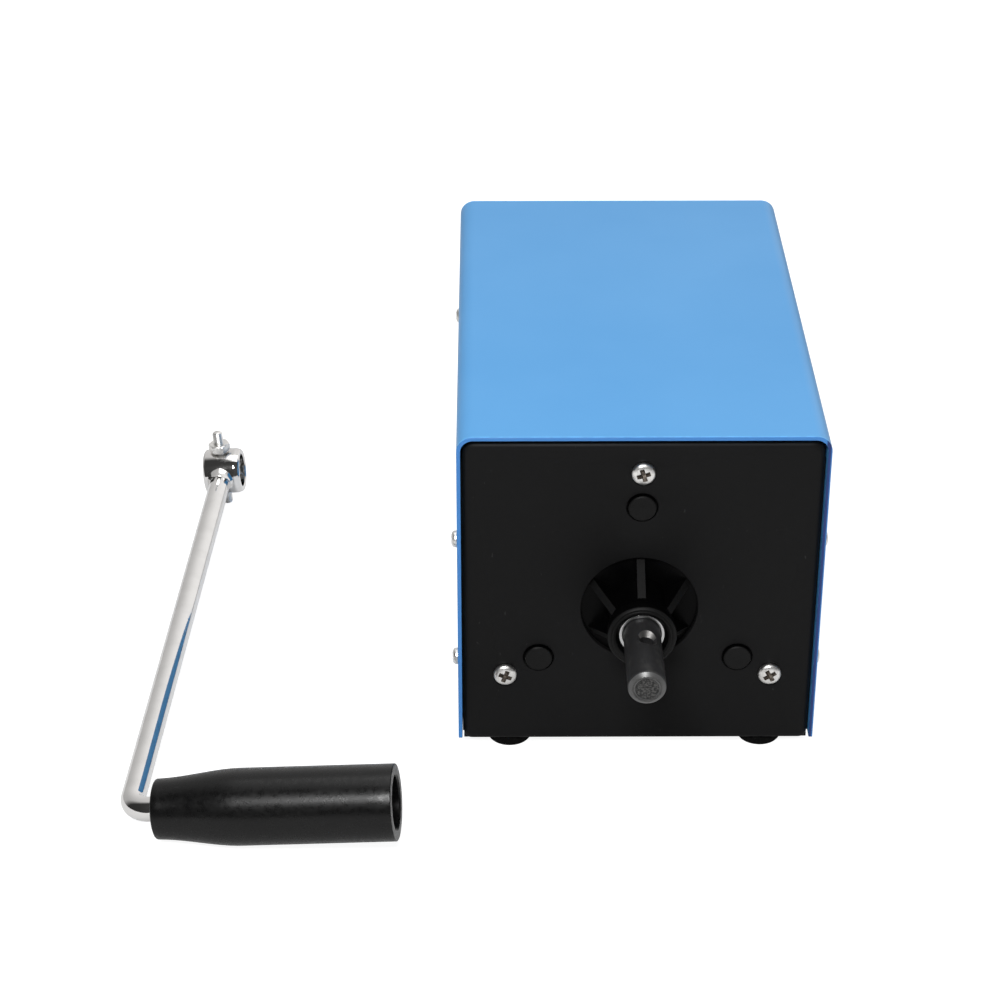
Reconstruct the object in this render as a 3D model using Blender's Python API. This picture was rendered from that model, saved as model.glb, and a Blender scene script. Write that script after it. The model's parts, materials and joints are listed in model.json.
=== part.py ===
"""Hand crank generator: folded steel box, planetary step-up gearbox, small generator and a loose crank.

Lengths are in metres, +Z is up and the front plate faces -Y. Sizes below are given in millimetres
times MM in the box's own coordinates: X from the middle of the box, Y from its mid depth, and Z from
the lower edge of its cover. BOX_IN_FRAME then places the box in the part's frame, whose origin lies on
the floor under the middle of the whole set.
"""
from math import acos, cos, pi, radians, sin, sqrt, tan

import bmesh
import bpy
from mathutils import Euler, Matrix, Vector

MM = 0.001
GAP = 0.3 * MM                      # clearance between neighbouring pieces

BOX_IN_FRAME = Vector((40.21 * MM, 24.48 * MM, 4.0 * MM))

# Cover and chassis
COVER_WIDTH = 90 * MM
COVER_HEIGHT = 86.5 * MM
COVER_DEPTH = 144 * MM
COVER_SHEET = 1.0 * MM
COVER_CORNER = 4.0 * MM
CHASSIS_SHEET = 1.2 * MM
CHASSIS_BOTTOM = -1.1 * MM          # the tray's floor hangs just below the cover's edges
PLATE_RECESS = 0.9 * MM
PLATE_HALF_WIDTH = 43.6 * MM
PLATE_TOP = 84.5 * MM
PLATE_TOP_CORNER = 3.0 * MM
PLATE_FOOT_CORNER = 1.8 * MM
RETURN_LENGTH = 14 * MM
RETURN_BOTTOM = 2 * MM
RETURN_TOP = 79 * MM
SIDE_LIP = 9 * MM
COVER_SCREW_Y = 64 * MM
COVER_SCREW_Z = (19.7 * MM, 54.0 * MM)
FOOT_X = 32 * MM
FOOT_Y = 64.5 * MM
FOOT_HEIGHT = 4 * MM                # below the cover's lower edge
FOOT_RADIUS = 5.6 * MM
FOOT_NECK_RADIUS = 1.7 * MM
FOOT_BARB_RADIUS = 2.6 * MM
FOOT_HOLE_RADIUS = 2.0 * MM

# Pan head screws: M3 in the front plate, smaller heads on the cover
PLATE_HEAD_RADIUS = 2.9 * MM
PLATE_HEAD_HEIGHT = 1.3 * MM
PLATE_SCREW_LENGTH = 7.5 * MM
COVER_HEAD_RADIUS = 2.1 * MM
COVER_HEAD_HEIGHT = 1.2 * MM
COVER_SCREW_LENGTH = 5 * MM
SCREW_SHANK_RADIUS = 1.4 * MM
SCREW_HOLE_RADIUS = 1.75 * MM

# Gearbox axis, and what lies around it
AXIS_Z = 38.1 * MM
THIRDS = (radians(90), radians(210), radians(330))
PLATE_SCREW_CIRCLE = 38.3 * MM
POST_CIRCLE = 28.7 * MM
POST_RADIUS = 3.4 * MM
POST_HOLE_RADIUS = 3.85 * MM
POST_STANDS_OUT = 0.8 * MM          # how far the posts' tips pass the front plate
NOSE_HOLE_RADIUS = 14.5 * MM
COLLAR_RADIUS = 8.45 * MM
COLLAR_FACE_Y = -84.7 * MM
COLLAR_LENGTH = 3.4 * MM
NOSE_RADIUS = 7.6 * MM
NOSE_BORE = 5.85 * MM
RIB_WIDTH = 2.0 * MM
RIB_FOOT_RADIUS = 13.9 * MM
RIB_TIP_Y = -79 * MM
BUSH_RADIUS = 5.55 * MM
BUSH_BORE = 4.9 * MM
BUSH_RECESS = 1.4 * MM
NOSE_MOUTH = 6.75 * MM              # the bore flares to this radius at the collar's face
BUSH_LENGTH = 14.7 * MM
SHAFT_RADIUS = 4.6 * MM
SHAFT_END_Y = -107.2 * MM
SHAFT_CHAMFER = 1.4 * MM
CROSS_HOLE_Y = -91.4 * MM
CROSS_HOLE_RADIUS = 1.85 * MM
SHAFT_REST_ANGLE = radians(11.5)    # the cross hole leans toward +X

# Gearbox
GEARBOX_RADIUS = 32.5 * MM
RING_BODY_RADIUS = 31.2 * MM
FLANGE_THICKNESS = 4 * MM
EAR_RADIUS = 6.5 * MM
EAR_DEPTH = 8 * MM
EAR_BORE_DEPTH = 7.2 * MM
RING_BODY_LENGTH = 20.3 * MM
REAR_COVER_THICKNESS = 4 * MM
REAR_COVER_BORE = 8 * MM
GEAR_MODULE = 0.85 * MM
SUN_TEETH = 15
PLANET_TEETH = 21
RING_TEETH = 57
BACKLASH = 0.15 * MM                # taken off each gear's tooth thickness
PRESSURE_ANGLE = radians(20)
GEAR_WIDTH = 6 * MM
CARRIER_RADIUS = 19.5 * MM
CARRIER_THICKNESS = 2 * MM
PIN_RADIUS = 1.8 * MM
BOLT_RADIUS = 1.4 * MM
BOLT_HEAD_RADIUS = 2.5 * MM
BOLT_HEAD_HEIGHT = 2 * MM

# Generator
CAN_RADIUS = 25 * MM
CAN_WALL = 1.6 * MM
CAN_LENGTH = 48.2 * MM
END_BELL_LENGTH = 13.7 * MM
MAGNET_THICKNESS = 4.4 * MM
MAGNET_LENGTH = 40 * MM
CORE_RADIUS = 17.8 * MM
CORE_LENGTH = 32 * MM
CORE_POLES = 5
CORE_HUB_RADIUS = 8 * MM
POLE_SHOE_RADIUS = 15.4 * MM        # where the narrow part of a pole meets its shoe
WINDING_RADIUS = 14.6 * MM
WINDING_BORE = 6.5 * MM
WINDING_OVERHANG = 4 * MM
ROTOR_SHAFT_RADIUS = 2 * MM
COMMUTATOR_RADIUS = 6 * MM
COMMUTATOR_LENGTH = 8 * MM
COMMUTATOR_FLANGE = 1.2 * MM
MOTOR_BUSH_RADIUS = 4.5 * MM
FRONT_BUSH_LENGTH = 4 * MM
BELL_CAVITY_RADIUS = 14.5 * MM
BELL_FLOOR = 3.5 * MM
BRUSH_LENGTH = 6 * MM
BRUSH_WIDTH = 4 * MM
BRUSH_DEPTH = 5 * MM

# Output board
BOARD_WIDTH = 50 * MM
BOARD_HEIGHT = 40 * MM
BOARD_THICKNESS = 1.6 * MM
BOARD_FRONT_Y = 52.5 * MM
BOARD_BOTTOM_Z = 14 * MM
BRACKET_LENGTH = 36 * MM
BRACKET_HEIGHT = 24 * MM
BRACKET_FOOT = 14 * MM
CAPACITOR_RADIUS = 5 * MM
CAPACITOR_LENGTH = 12 * MM
CAPACITOR_CENTRE = (-14 * MM, 24 * MM)
USB_SIZE = (13.2 * MM, 5.8 * MM)
USB_WALL = 0.4 * MM
SOCKET_DEPTH = 10 * MM
USB_CENTRE = (-9 * MM, 44 * MM)
DC_RADIUS = 4.5 * MM
DC_BORE = 3.0 * MM
DC_PIN_RADIUS = 1.0 * MM
DC_CENTRE = (11 * MM, 43 * MM)
LIGHT_RADIUS = 1.5 * MM
LIGHT_CENTRE = (11 * MM, 26 * MM)
WIRE_RADIUS = 0.9 * MM
WIRE_X = 11 * MM
WIRE_BOW = 15 * MM

# Crank, in its own coordinates: X runs along the grip from the bend, and the arm lies in the XY plane
CRANK_BEND = Vector((-124.2 * MM, -106.8 * MM, 3.4 * MM))
CRANK_YAW = radians(-4.75)
CRANK_PITCH = radians(1.26)
CRANK_ROLL = radians(-5.21)
ARM_LEAN = radians(1.7)             # the bend is this much wider than a right angle
ARM_DIRECTION = Vector((-sin(ARM_LEAN), cos(ARM_LEAN), 0))
ROD_RADIUS = 3.0 * MM
BEND_RADIUS = 5.0 * MM
ARM_LENGTH = 164.2 * MM
HUB_RADIUS = 6.6 * MM
HUB_BORE = 4.8 * MM
HUB_LEFT = -4.95 * MM
HUB_RIGHT = 5.75 * MM
HUB_RIM = 0.5 * MM
WELD_LENGTH = 2.2 * MM              # from the bar's end to the hub
WELD_RADIUS = 4.1 * MM
STUD_RADIUS = 1.5 * MM
STUD_TIP_RADIUS = 1.1 * MM
STUD_BOTTOM = -10.45 * MM
STUD_TOP = 13.1 * MM
NUT_ACROSS_FLATS = 5.5 * MM
NUT_HEIGHT = 2.4 * MM
NUT_LIFT = 0.2 * MM                 # the nut stops this far short of the hub
GRIP_START = 6.6 * MM
GRIP_LENGTH = 58.65 * MM
GRIP_SMALL_RADIUS = 7.35 * MM
GRIP_LARGE_RADIUS = 9.35 * MM
GRIP_BORE = 3.3 * MM
GRIP_MOUTH_RADIUS = 6.5 * MM
GRIP_MOUTH_DEPTH = 11 * MM
GRIP_SWELL_SHARE = 0.36             # how much of the length the taper takes
RETAINER_RADIUS = 5.2 * MM
ROD_END = GRIP_START + GRIP_LENGTH - 6.5 * MM

# Positions along the axis, front to back, each piece clear of the one before it
PLATE_FRONT_Y = -COVER_DEPTH / 2 + PLATE_RECESS
PLATE_BACK_Y = PLATE_FRONT_Y + CHASSIS_SHEET
FLANGE_Y = PLATE_BACK_Y + GAP
RING_Y = FLANGE_Y + FLANGE_THICKNESS + GAP
REAR_COVER_Y = RING_Y + RING_BODY_LENGTH + GAP
INPUT_CARRIER_Y = RING_Y + GAP
FIRST_PLANET_Y = INPUT_CARRIER_Y + CARRIER_THICKNESS + GAP
SECOND_CARRIER_Y = FIRST_PLANET_Y + GEAR_WIDTH + 3 * GAP
SECOND_PLANET_Y = SECOND_CARRIER_Y + CARRIER_THICKNESS + GAP
PLANET_CIRCLE = GEAR_MODULE * (SUN_TEETH + PLANET_TEETH) / 2
CAN_Y = REAR_COVER_Y + REAR_COVER_THICKNESS + GAP
END_BELL_Y = CAN_Y + CAN_LENGTH + GAP
CORE_Y = CAN_Y + 10 * MM
GENERATOR_END_Y = END_BELL_Y + END_BELL_LENGTH


# ---------------------------------------------------------------- helpers

def clear_scene():
    for old in list(bpy.data.objects):
        bpy.data.objects.remove(old, do_unlink=True)


def material(name, colour, roughness, metallic):
    """A Principled material, made once and shared after that."""
    found = bpy.data.materials.get(name)
    if found:
        return found
    made = bpy.data.materials.new(name)
    made.use_nodes = True
    shader = made.node_tree.nodes["Principled BSDF"]
    shader.inputs["Base Color"].default_value = (*colour, 1.0)
    shader.inputs["Roughness"].default_value = roughness
    shader.inputs["Metallic"].default_value = metallic
    return made


def blue_paint():
    return material("blue_paint", (0.16, 0.42, 0.78), 0.38, 0.0)


def black_paint():
    return material("black_paint", (0.012, 0.012, 0.013), 0.55, 0.0)


def black_plastic():
    return material("black_plastic", (0.01, 0.01, 0.01), 0.45, 0.0)


def rubber():
    return material("rubber", (0.015, 0.015, 0.015), 0.85, 0.0)


def zinc():
    return material("zinc", (0.62, 0.63, 0.65), 0.3, 1.0)


def chrome():
    return material("chrome", (0.78, 0.78, 0.79), 0.08, 1.0)


def black_oxide():
    return material("black_oxide", (0.03, 0.03, 0.033), 0.35, 0.8)


def steel():
    return material("steel", (0.5, 0.5, 0.51), 0.35, 1.0)


def nylon():
    return material("nylon", (0.75, 0.73, 0.66), 0.5, 0.0)


def copper():
    return material("copper", (0.72, 0.3, 0.12), 0.35, 1.0)


def ferrite():
    return material("ferrite", (0.05, 0.05, 0.055), 0.7, 0.0)


def board_green():
    return material("board_green", (0.02, 0.16, 0.06), 0.4, 0.0)


def wire_skin(name, colour):
    return material(name, colour, 0.5, 0.0)


def place(name, mesh, look, position=(0, 0, 0), rotation=(0, 0, 0)):
    """Put a mesh in the scene, at a position in the box's own coordinates."""
    thing = bpy.data.objects.new(name, mesh)
    bpy.context.scene.collection.objects.link(thing)
    if not mesh.materials:
        mesh.materials.append(look)
    thing.location = BOX_IN_FRAME + Vector(position)
    thing.rotation_euler = Euler(rotation)
    return thing


def empty(name, position, rotation=(0, 0, 0)):
    holder = bpy.data.objects.new(name, None)
    bpy.context.scene.collection.objects.link(holder)
    holder.location = BOX_IN_FRAME + Vector(position)
    holder.rotation_euler = Euler(rotation)
    return holder


def attach(thing, holder, local=(0, 0, 0), rotation=(0, 0, 0)):
    """Hang a thing on an empty, at a position in the empty's own coordinates."""
    thing.parent = holder
    thing.location = Vector(local)
    thing.rotation_euler = Euler(rotation)
    return thing


def finish(bm, name, smooth_angle=radians(35)):
    bmesh.ops.remove_doubles(bm, verts=bm.verts, dist=1e-7)
    bmesh.ops.recalc_face_normals(bm, faces=bm.faces)
    mesh = bpy.data.meshes.new(name)
    bm.to_mesh(mesh)
    bm.free()
    mesh.shade_smooth()
    mesh.set_sharp_from_angle(angle=smooth_angle)
    return mesh


def ring_points(radius, count, centre=(0, 0), start=0.0):
    step = 2 * pi / count
    return [(centre[0] + radius * cos(start + i * step), centre[1] + radius * sin(start + i * step))
            for i in range(count)]


def box_points(x0, x1, z0, z1):
    return [(x0, z0), (x1, z0), (x1, z1), (x0, z1)]


def rounded_box(x0, x1, z0, z1, low, high, steps=5):
    """A rectangle whose two lower corners have the radius low and the two upper ones high."""
    corners = (((x1 - low, z0 + low), low, -pi / 2), ((x1 - high, z1 - high), high, 0),
               ((x0 + high, z1 - high), high, pi / 2), ((x0 + low, z0 + low), low, pi))
    points = []
    for (cx, cz), radius, start in corners:
        for i in range(steps + 1):
            angle = start + i * pi / 2 / steps
            points.append((cx + radius * cos(angle), cz + radius * sin(angle)))
    return points


def prism(name, outline, low, high, holes=(), axis="Y"):
    """An outline with holes, pushed along an axis: points (x, z) for Y, (x, y) for Z and (y, z) for X."""
    def at(point, depth):
        a, b = point
        return {"Y": (a, depth, b), "Z": (a, b, depth), "X": (depth, a, b)}[axis]

    bm = bmesh.new()
    for depth in (low, high):
        edges = []
        for loop in (outline, *holes):
            verts = [bm.verts.new(at(point, depth)) for point in loop]
            edges += [bm.edges.new((verts[i - 1], verts[i])) for i in range(len(verts))]
        bmesh.ops.triangle_fill(bm, use_beauty=True, edges=edges)
    bm.verts.ensure_lookup_table()
    count = len(bm.verts) // 2
    first = 0
    for loop in (outline, *holes):
        size = len(loop)
        for i in range(size):
            a = first + i
            b = first + (i + 1) % size
            bm.faces.new((bm.verts[a], bm.verts[b], bm.verts[b + count], bm.verts[a + count]))
        first += size
    return finish(bm, name)


def lathe(name, profile, segments, axis="Y", closed=False):
    """A profile of (radius, distance along the axis) turned once round it; closed profiles make rings."""
    def at(radius, along, angle):
        a = radius * cos(angle)
        b = radius * sin(angle)
        return {"Y": (a, along, b), "Z": (a, b, along), "X": (along, a, b)}[axis]

    bm = bmesh.new()
    rings = []
    for radius, along in profile:
        if radius == 0:
            rings.append([bm.verts.new(at(0, along, 0))])
        else:
            rings.append([bm.verts.new(at(radius, along, 2 * pi * i / segments)) for i in range(segments)])
    pairs = list(zip(rings, rings[1:]))
    if closed:
        pairs.append((rings[-1], rings[0]))
    for one, two in pairs:
        for i in range(segments):
            j = (i + 1) % segments
            corners = [one[i % len(one)], one[j % len(one)], two[j % len(two)], two[i % len(two)]]
            bm.faces.new(list(dict.fromkeys(corners)))
    return finish(bm, name)


def tube(name, outer, inner, low, high, segments, axis="Y"):
    profile = [(outer, low), (outer, high), (inner, high), (inner, low)]
    return lathe(name, profile, segments, axis, closed=True)


def rod(name, radius, low, high, segments, axis="Y"):
    return lathe(name, [(0, low), (radius, low), (radius, high), (0, high)], segments, axis)


def sweep(name, path, radius, sides):
    """A round bar along a path of points, with flat ends."""
    bm = bmesh.new()
    rings = []
    side = None
    for i, point in enumerate(path):
        ahead = path[min(i + 1, len(path) - 1)]
        behind = path[max(i - 1, 0)]
        along = (ahead - behind).normalized()
        if side is None:
            side = along.orthogonal().normalized()
        side = (side - along * side.dot(along)).normalized()
        across = along.cross(side)
        ring = []
        for k in range(sides):
            angle = 2 * pi * k / sides
            ring.append(bm.verts.new(point + radius * (cos(angle) * side + sin(angle) * across)))
        rings.append(ring)
    for one, two in zip(rings, rings[1:]):
        for k in range(sides):
            bm.faces.new((one[k - 1], one[k], two[k], two[k - 1]))
    bm.faces.new(rings[0])
    bm.faces.new(rings[-1])
    return finish(bm, name)


def combine(base, tools, operation):
    """Join or cut a mesh with others by exact Booleans, and give back one mesh."""
    work = bpy.data.objects.new("work", base)
    bpy.context.scene.collection.objects.link(work)
    helpers = []
    for tool in tools:
        helper = bpy.data.objects.new("tool", tool)
        bpy.context.scene.collection.objects.link(helper)
        helpers.append(helper)
        step = work.modifiers.new("step", "BOOLEAN")
        step.operation = operation
        step.solver = "EXACT"
        step.object = helper
    graph = bpy.context.evaluated_depsgraph_get()
    result = bpy.data.meshes.new_from_object(work.evaluated_get(graph))
    result.name = base.name
    for used in (work, *helpers):
        bpy.data.objects.remove(used, do_unlink=True)
    result.shade_smooth()
    result.set_sharp_from_angle(angle=radians(35))
    return result


def join(base, *tools):
    return combine(base, tools, "UNION")


def cut(base, *tools):
    return combine(base, tools, "DIFFERENCE")


def on_circle(radius, angle):
    """A point (x, z) on a circle about the gearbox axis, measured from the axis."""
    return (radius * cos(angle), radius * sin(angle))


# ---------------------------------------------------------------- cover and chassis

def sheet_arch(half_width, height, corner, steps=4):
    """The outer line of the folded cover from its lower left edge over the top to the lower right one."""
    points = [(-half_width, 0)]
    for centre_x, start in ((-half_width + corner, pi), (half_width - corner, pi / 2)):
        for i in range(steps + 1):
            angle = start - i * pi / 2 / steps
            points.append((centre_x + corner * cos(angle), height - corner + corner * sin(angle)))
    points.append((half_width, 0))
    return points


def make_cover():
    outer = sheet_arch(COVER_WIDTH / 2, COVER_HEIGHT, COVER_CORNER)
    inner = sheet_arch(COVER_WIDTH / 2 - COVER_SHEET, COVER_HEIGHT - COVER_SHEET, COVER_CORNER - COVER_SHEET)
    sheet = prism("cover", outer + inner[::-1], -COVER_DEPTH / 2, COVER_DEPTH / 2)
    drills = []
    for y in (-COVER_SCREW_Y, COVER_SCREW_Y):
        for z in COVER_SCREW_Z:
            drill = rod("drill", SCREW_HOLE_RADIUS, -COVER_WIDTH, COVER_WIDTH, 10, "X")
            drill.transform(Matrix.Translation((0, y, z)))
            drills.append(drill)
    place("cover", cut(sheet, *drills), blue_paint())


def make_chassis():
    back_y = COVER_DEPTH / 2 - PLATE_RECESS
    half = PLATE_HALF_WIDTH
    sheet = CHASSIS_SHEET
    floor_outline = box_points(-half, half, PLATE_FRONT_Y + sheet / 2, back_y - sheet / 2)
    bottom = CHASSIS_BOTTOM
    floor = prism("chassis", floor_outline, bottom, bottom + sheet, axis="Z")
    outline = rounded_box(-half, half, bottom, PLATE_TOP, PLATE_FOOT_CORNER, PLATE_TOP_CORNER)
    thirds = [on_circle(PLATE_SCREW_CIRCLE, angle) for angle in THIRDS]
    posts = [on_circle(POST_CIRCLE, angle) for angle in THIRDS]
    front_holes = [ring_points(NOSE_HOLE_RADIUS, 32, (0, AXIS_Z))]
    front_holes += [ring_points(SCREW_HOLE_RADIUS, 10, (x, AXIS_Z + z)) for x, z in thirds]
    front_holes += [ring_points(POST_HOLE_RADIUS, 16, (x, AXIS_Z + z)) for x, z in posts]
    front = prism("front", outline, PLATE_FRONT_Y, PLATE_BACK_Y, front_holes)
    usb_half = (USB_SIZE[0] / 2 + GAP, USB_SIZE[1] / 2 + GAP)
    rear_holes = [box_points(USB_CENTRE[0] - usb_half[0], USB_CENTRE[0] + usb_half[0],
                             USB_CENTRE[1] - usb_half[1], USB_CENTRE[1] + usb_half[1]),
                  ring_points(DC_RADIUS + GAP, 16, DC_CENTRE),
                  ring_points(LIGHT_RADIUS + GAP, 10, LIGHT_CENTRE)]
    rear = prism("rear", outline, back_y - sheet, back_y, rear_holes)
    pieces = [front, rear]
    for side in (-1, 1):
        x0, x1 = sorted((side * half, side * (half - sheet)))
        for y0, y1 in ((PLATE_FRONT_Y + sheet / 2, PLATE_FRONT_Y + RETURN_LENGTH),
                       (back_y - RETURN_LENGTH, back_y - sheet / 2)):
            screw_y = COVER_SCREW_Y if y1 > 0 else -COVER_SCREW_Y
            drilled = [ring_points(SCREW_HOLE_RADIUS, 10, (screw_y, z)) for z in COVER_SCREW_Z]
            outline = box_points(y0, y1, RETURN_BOTTOM, RETURN_TOP)
            pieces.append(prism("return", outline, x0, x1, drilled, "X"))
        lip_end = PLATE_FRONT_Y + RETURN_LENGTH + 2 * MM
        lip = box_points(lip_end, -lip_end, bottom + sheet / 2, SIDE_LIP)
        pieces.append(prism("lip", lip, x0, x1, axis="X"))
    drills = []
    for x in (-FOOT_X, FOOT_X):
        for y in (-FOOT_Y, FOOT_Y):
            drill = rod("drill", FOOT_HOLE_RADIUS, bottom - MM, bottom + 3 * MM, 10, "Z")
            drill.transform(Matrix.Translation((x, y, 0)))
            drills.append(drill)
    place("chassis", cut(join(floor, *pieces), *drills), black_paint())


def make_feet():
    """Push-in rubber feet: a disc under the floor, a neck through it, and a barb above it."""
    top = CHASSIS_BOTTOM - GAP
    barb_z = CHASSIS_BOTTOM + CHASSIS_SHEET + GAP
    profile = [(0, -FOOT_HEIGHT), (FOOT_RADIUS - 0.3 * MM, -FOOT_HEIGHT),
               (FOOT_RADIUS, -FOOT_HEIGHT + 0.4 * MM), (FOOT_RADIUS, top), (FOOT_NECK_RADIUS, top),
               (FOOT_NECK_RADIUS, barb_z), (FOOT_BARB_RADIUS, barb_z), (0, barb_z + 1.7 * MM)]
    mesh = lathe("foot", profile, 16, "Z")
    for y, depth in ((-FOOT_Y, "front"), (FOOT_Y, "rear")):
        for x, side in ((-FOOT_X, "left"), (FOOT_X, "right")):
            place(f"foot_{depth}_{side}", mesh, rubber(), (x, y, 0))


def screw_mesh(name, head, tall, length):
    """A pan head screw along +Z with a cross recess; its head's underside is at Z = 0."""
    profile = [(0, -length), (SCREW_SHANK_RADIUS, -length), (SCREW_SHANK_RADIUS, 0), (head, 0),
               (head, 0.45 * tall), (0.62 * head, 0.95 * tall), (0, tall)]
    body = lathe(name, profile, 12, "Z")
    arm = 0.5 * head
    half = 0.11 * head
    cross = [(half, half), (half, arm), (-half, arm), (-half, half), (-arm, half), (-arm, -half),
             (-half, -half), (-half, -arm), (half, -arm), (half, -half), (arm, -half), (arm, half)]
    return cut(body, prism("recess", cross, 0.35 * tall, 2 * tall, axis="Z"))


def make_screws():
    cover_screw = screw_mesh("cover_screw", COVER_HEAD_RADIUS, COVER_HEAD_HEIGHT, COVER_SCREW_LENGTH)
    surface = COVER_WIDTH / 2 + GAP
    for side, turn, word in ((-1, -pi / 2, "left"), (1, pi / 2, "right")):
        for y, depth in ((-COVER_SCREW_Y, "front"), (COVER_SCREW_Y, "rear")):
            for z, level in zip(COVER_SCREW_Z, ("low", "high")):
                name = f"cover_screw_{word}_{depth}_{level}"
                place(name, cover_screw, zinc(), (side * surface, y, z), (0, turn, 0))
    plate_screw = screw_mesh("plate_screw", PLATE_HEAD_RADIUS, PLATE_HEAD_HEIGHT, PLATE_SCREW_LENGTH)
    for angle, word in zip(THIRDS, ("top", "left", "right")):
        x, z = on_circle(PLATE_SCREW_CIRCLE, angle)
        position = (x, PLATE_FRONT_Y - GAP, AXIS_Z + z)
        place(f"plate_screw_{word}", plate_screw, zinc(), position, (pi / 2, 0, 0))


# ---------------------------------------------------------------- gearbox

def make_gearbox_front():
    """Flange with three ears and three posts, and the ribbed nose that carries the crank shaft."""
    body = rod("gearbox_front", GEARBOX_RADIUS, FLANGE_Y, FLANGE_Y + FLANGE_THICKNESS, 48)
    parts = []
    bores = []
    for angle in THIRDS:
        x, z = on_circle(PLATE_SCREW_CIRCLE, angle)
        parts.append(prism("ear", ring_points(EAR_RADIUS, 14, (x, z)), FLANGE_Y, FLANGE_Y + EAR_DEPTH))
        screw_bore = ring_points(SCREW_HOLE_RADIUS, 10, (x, z))
        bores.append(prism("bore", screw_bore, FLANGE_Y - MM, FLANGE_Y + EAR_BORE_DEPTH))
        x, z = on_circle(POST_CIRCLE, angle)
        post = ring_points(POST_RADIUS, 14, (x, z))
        parts.append(prism("post", post, PLATE_FRONT_Y - POST_STANDS_OUT, FLANGE_Y + MM))
        bolt_hole = ring_points(BOLT_RADIUS + GAP, 10, (x, z))
        bores.append(prism("bore", bolt_hole, FLANGE_Y + 0.8 * MM, FLANGE_Y + 2 * FLANGE_THICKNESS))
    collar_end = COLLAR_FACE_Y + COLLAR_LENGTH
    nose = [(0, COLLAR_FACE_Y), (COLLAR_RADIUS - 0.4 * MM, COLLAR_FACE_Y),
            (COLLAR_RADIUS, COLLAR_FACE_Y + 0.4 * MM), (COLLAR_RADIUS, collar_end), (NOSE_RADIUS, collar_end),
            (NOSE_RADIUS, FLANGE_Y + MM), (0, FLANGE_Y + MM)]
    parts.append(lathe("nose", nose, 32))
    start = NOSE_RADIUS - MM
    slope = [(FLANGE_Y + MM, start), (FLANGE_Y + MM, RIB_FOOT_RADIUS), (FLANGE_Y, RIB_FOOT_RADIUS),
             (RIB_TIP_Y, NOSE_RADIUS + 0.2 * MM), (RIB_TIP_Y, start)]
    for i in range(6):
        rib = prism("rib", slope, -RIB_WIDTH / 2, RIB_WIDTH / 2, axis="X")
        rib.transform(Matrix.Rotation(i * pi / 3, 4, "Y"))
        parts.append(rib)
    bush_seat = COLLAR_FACE_Y + BUSH_RECESS + BUSH_LENGTH + GAP
    flare_end = COLLAR_FACE_Y + BUSH_RECESS
    bore = [(0, COLLAR_FACE_Y - MM), (NOSE_MOUTH, COLLAR_FACE_Y - MM), (NOSE_MOUTH, COLLAR_FACE_Y),
            (NOSE_BORE, flare_end), (NOSE_BORE, bush_seat), (0, bush_seat)]
    bores.append(lathe("bore", bore, 24))
    bores.append(rod("bore", BUSH_BORE, bush_seat - MM, FLANGE_Y + 2 * FLANGE_THICKNESS, 20))
    place("gearbox_front", cut(join(body, *parts), *bores), black_plastic(), (0, 0, AXIS_Z))


def make_shaft_bush():
    front = COLLAR_FACE_Y + BUSH_RECESS
    bush = tube("shaft_bush", BUSH_RADIUS, BUSH_BORE, front, front + BUSH_LENGTH, 24)
    place("shaft_bush", bush, steel(), (0, 0, AXIS_Z))


def involute(angle):
    return tan(angle) - angle


def gear_outline(teeth, tip_add, root_drop, thinned, phase):
    """Four points for each tooth, on the involute flanks of a gear that is thinned at its pitch circle."""
    pitch = GEAR_MODULE * teeth / 2
    base = pitch * cos(PRESSURE_ANGLE)
    tip = pitch + tip_add
    root = pitch - root_drop

    def half_angle(radius):
        pressure = acos(min(1.0, base / radius))
        return pi / (2 * teeth) - thinned / (2 * pitch) + involute(PRESSURE_ANGLE) - involute(pressure)

    points = []
    for i in range(teeth):
        centre = phase + i * 2 * pi / teeth
        for radius, side in ((root, -1), (tip, -1), (tip, 1), (root, 1)):
            angle = centre + side * half_angle(radius)
            points.append((radius * cos(angle), radius * sin(angle)))
    return points


def outer_gear(teeth, phase):
    return gear_outline(teeth, GEAR_MODULE, 1.25 * GEAR_MODULE, BACKLASH, phase)


def planet_phase(angle):
    """The turn of a planet at this angle that drops a tooth into a space of the ring gear."""
    ring_share = angle * RING_TEETH / (2 * pi)
    return angle - 2 * pi / PLANET_TEETH * (ring_share % 1)


def sun_phase():
    """The turn of a sun whose spaces take the teeth of the planets."""
    angle = THIRDS[0]
    planet_share = (angle + pi - planet_phase(angle)) * PLANET_TEETH / (2 * pi)
    return angle - 2 * pi / SUN_TEETH * ((0.5 - planet_share) % 1)


def make_ring_gear():
    space = gear_outline(RING_TEETH, 1.25 * GEAR_MODULE, GEAR_MODULE, -BACKLASH, 0)
    holes = [space]
    holes += [ring_points(BOLT_RADIUS + GAP, 10, on_circle(POST_CIRCLE, angle)) for angle in THIRDS]
    body = prism("ring_gear", ring_points(RING_BODY_RADIUS, 36), RING_Y, RING_Y + RING_BODY_LENGTH, holes)
    place("ring_gear", body, black_plastic(), (0, 0, AXIS_Z))


def make_gearbox_rear():
    holes = [ring_points(REAR_COVER_BORE, 20)]
    holes += [ring_points(BOLT_RADIUS + GAP, 10, on_circle(POST_CIRCLE, angle)) for angle in THIRDS]
    end = REAR_COVER_Y + REAR_COVER_THICKNESS
    place("gearbox_rear", prism("gearbox_rear", ring_points(RING_BODY_RADIUS, 36), REAR_COVER_Y, end, holes),
          black_plastic(), (0, 0, AXIS_Z))


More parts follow.
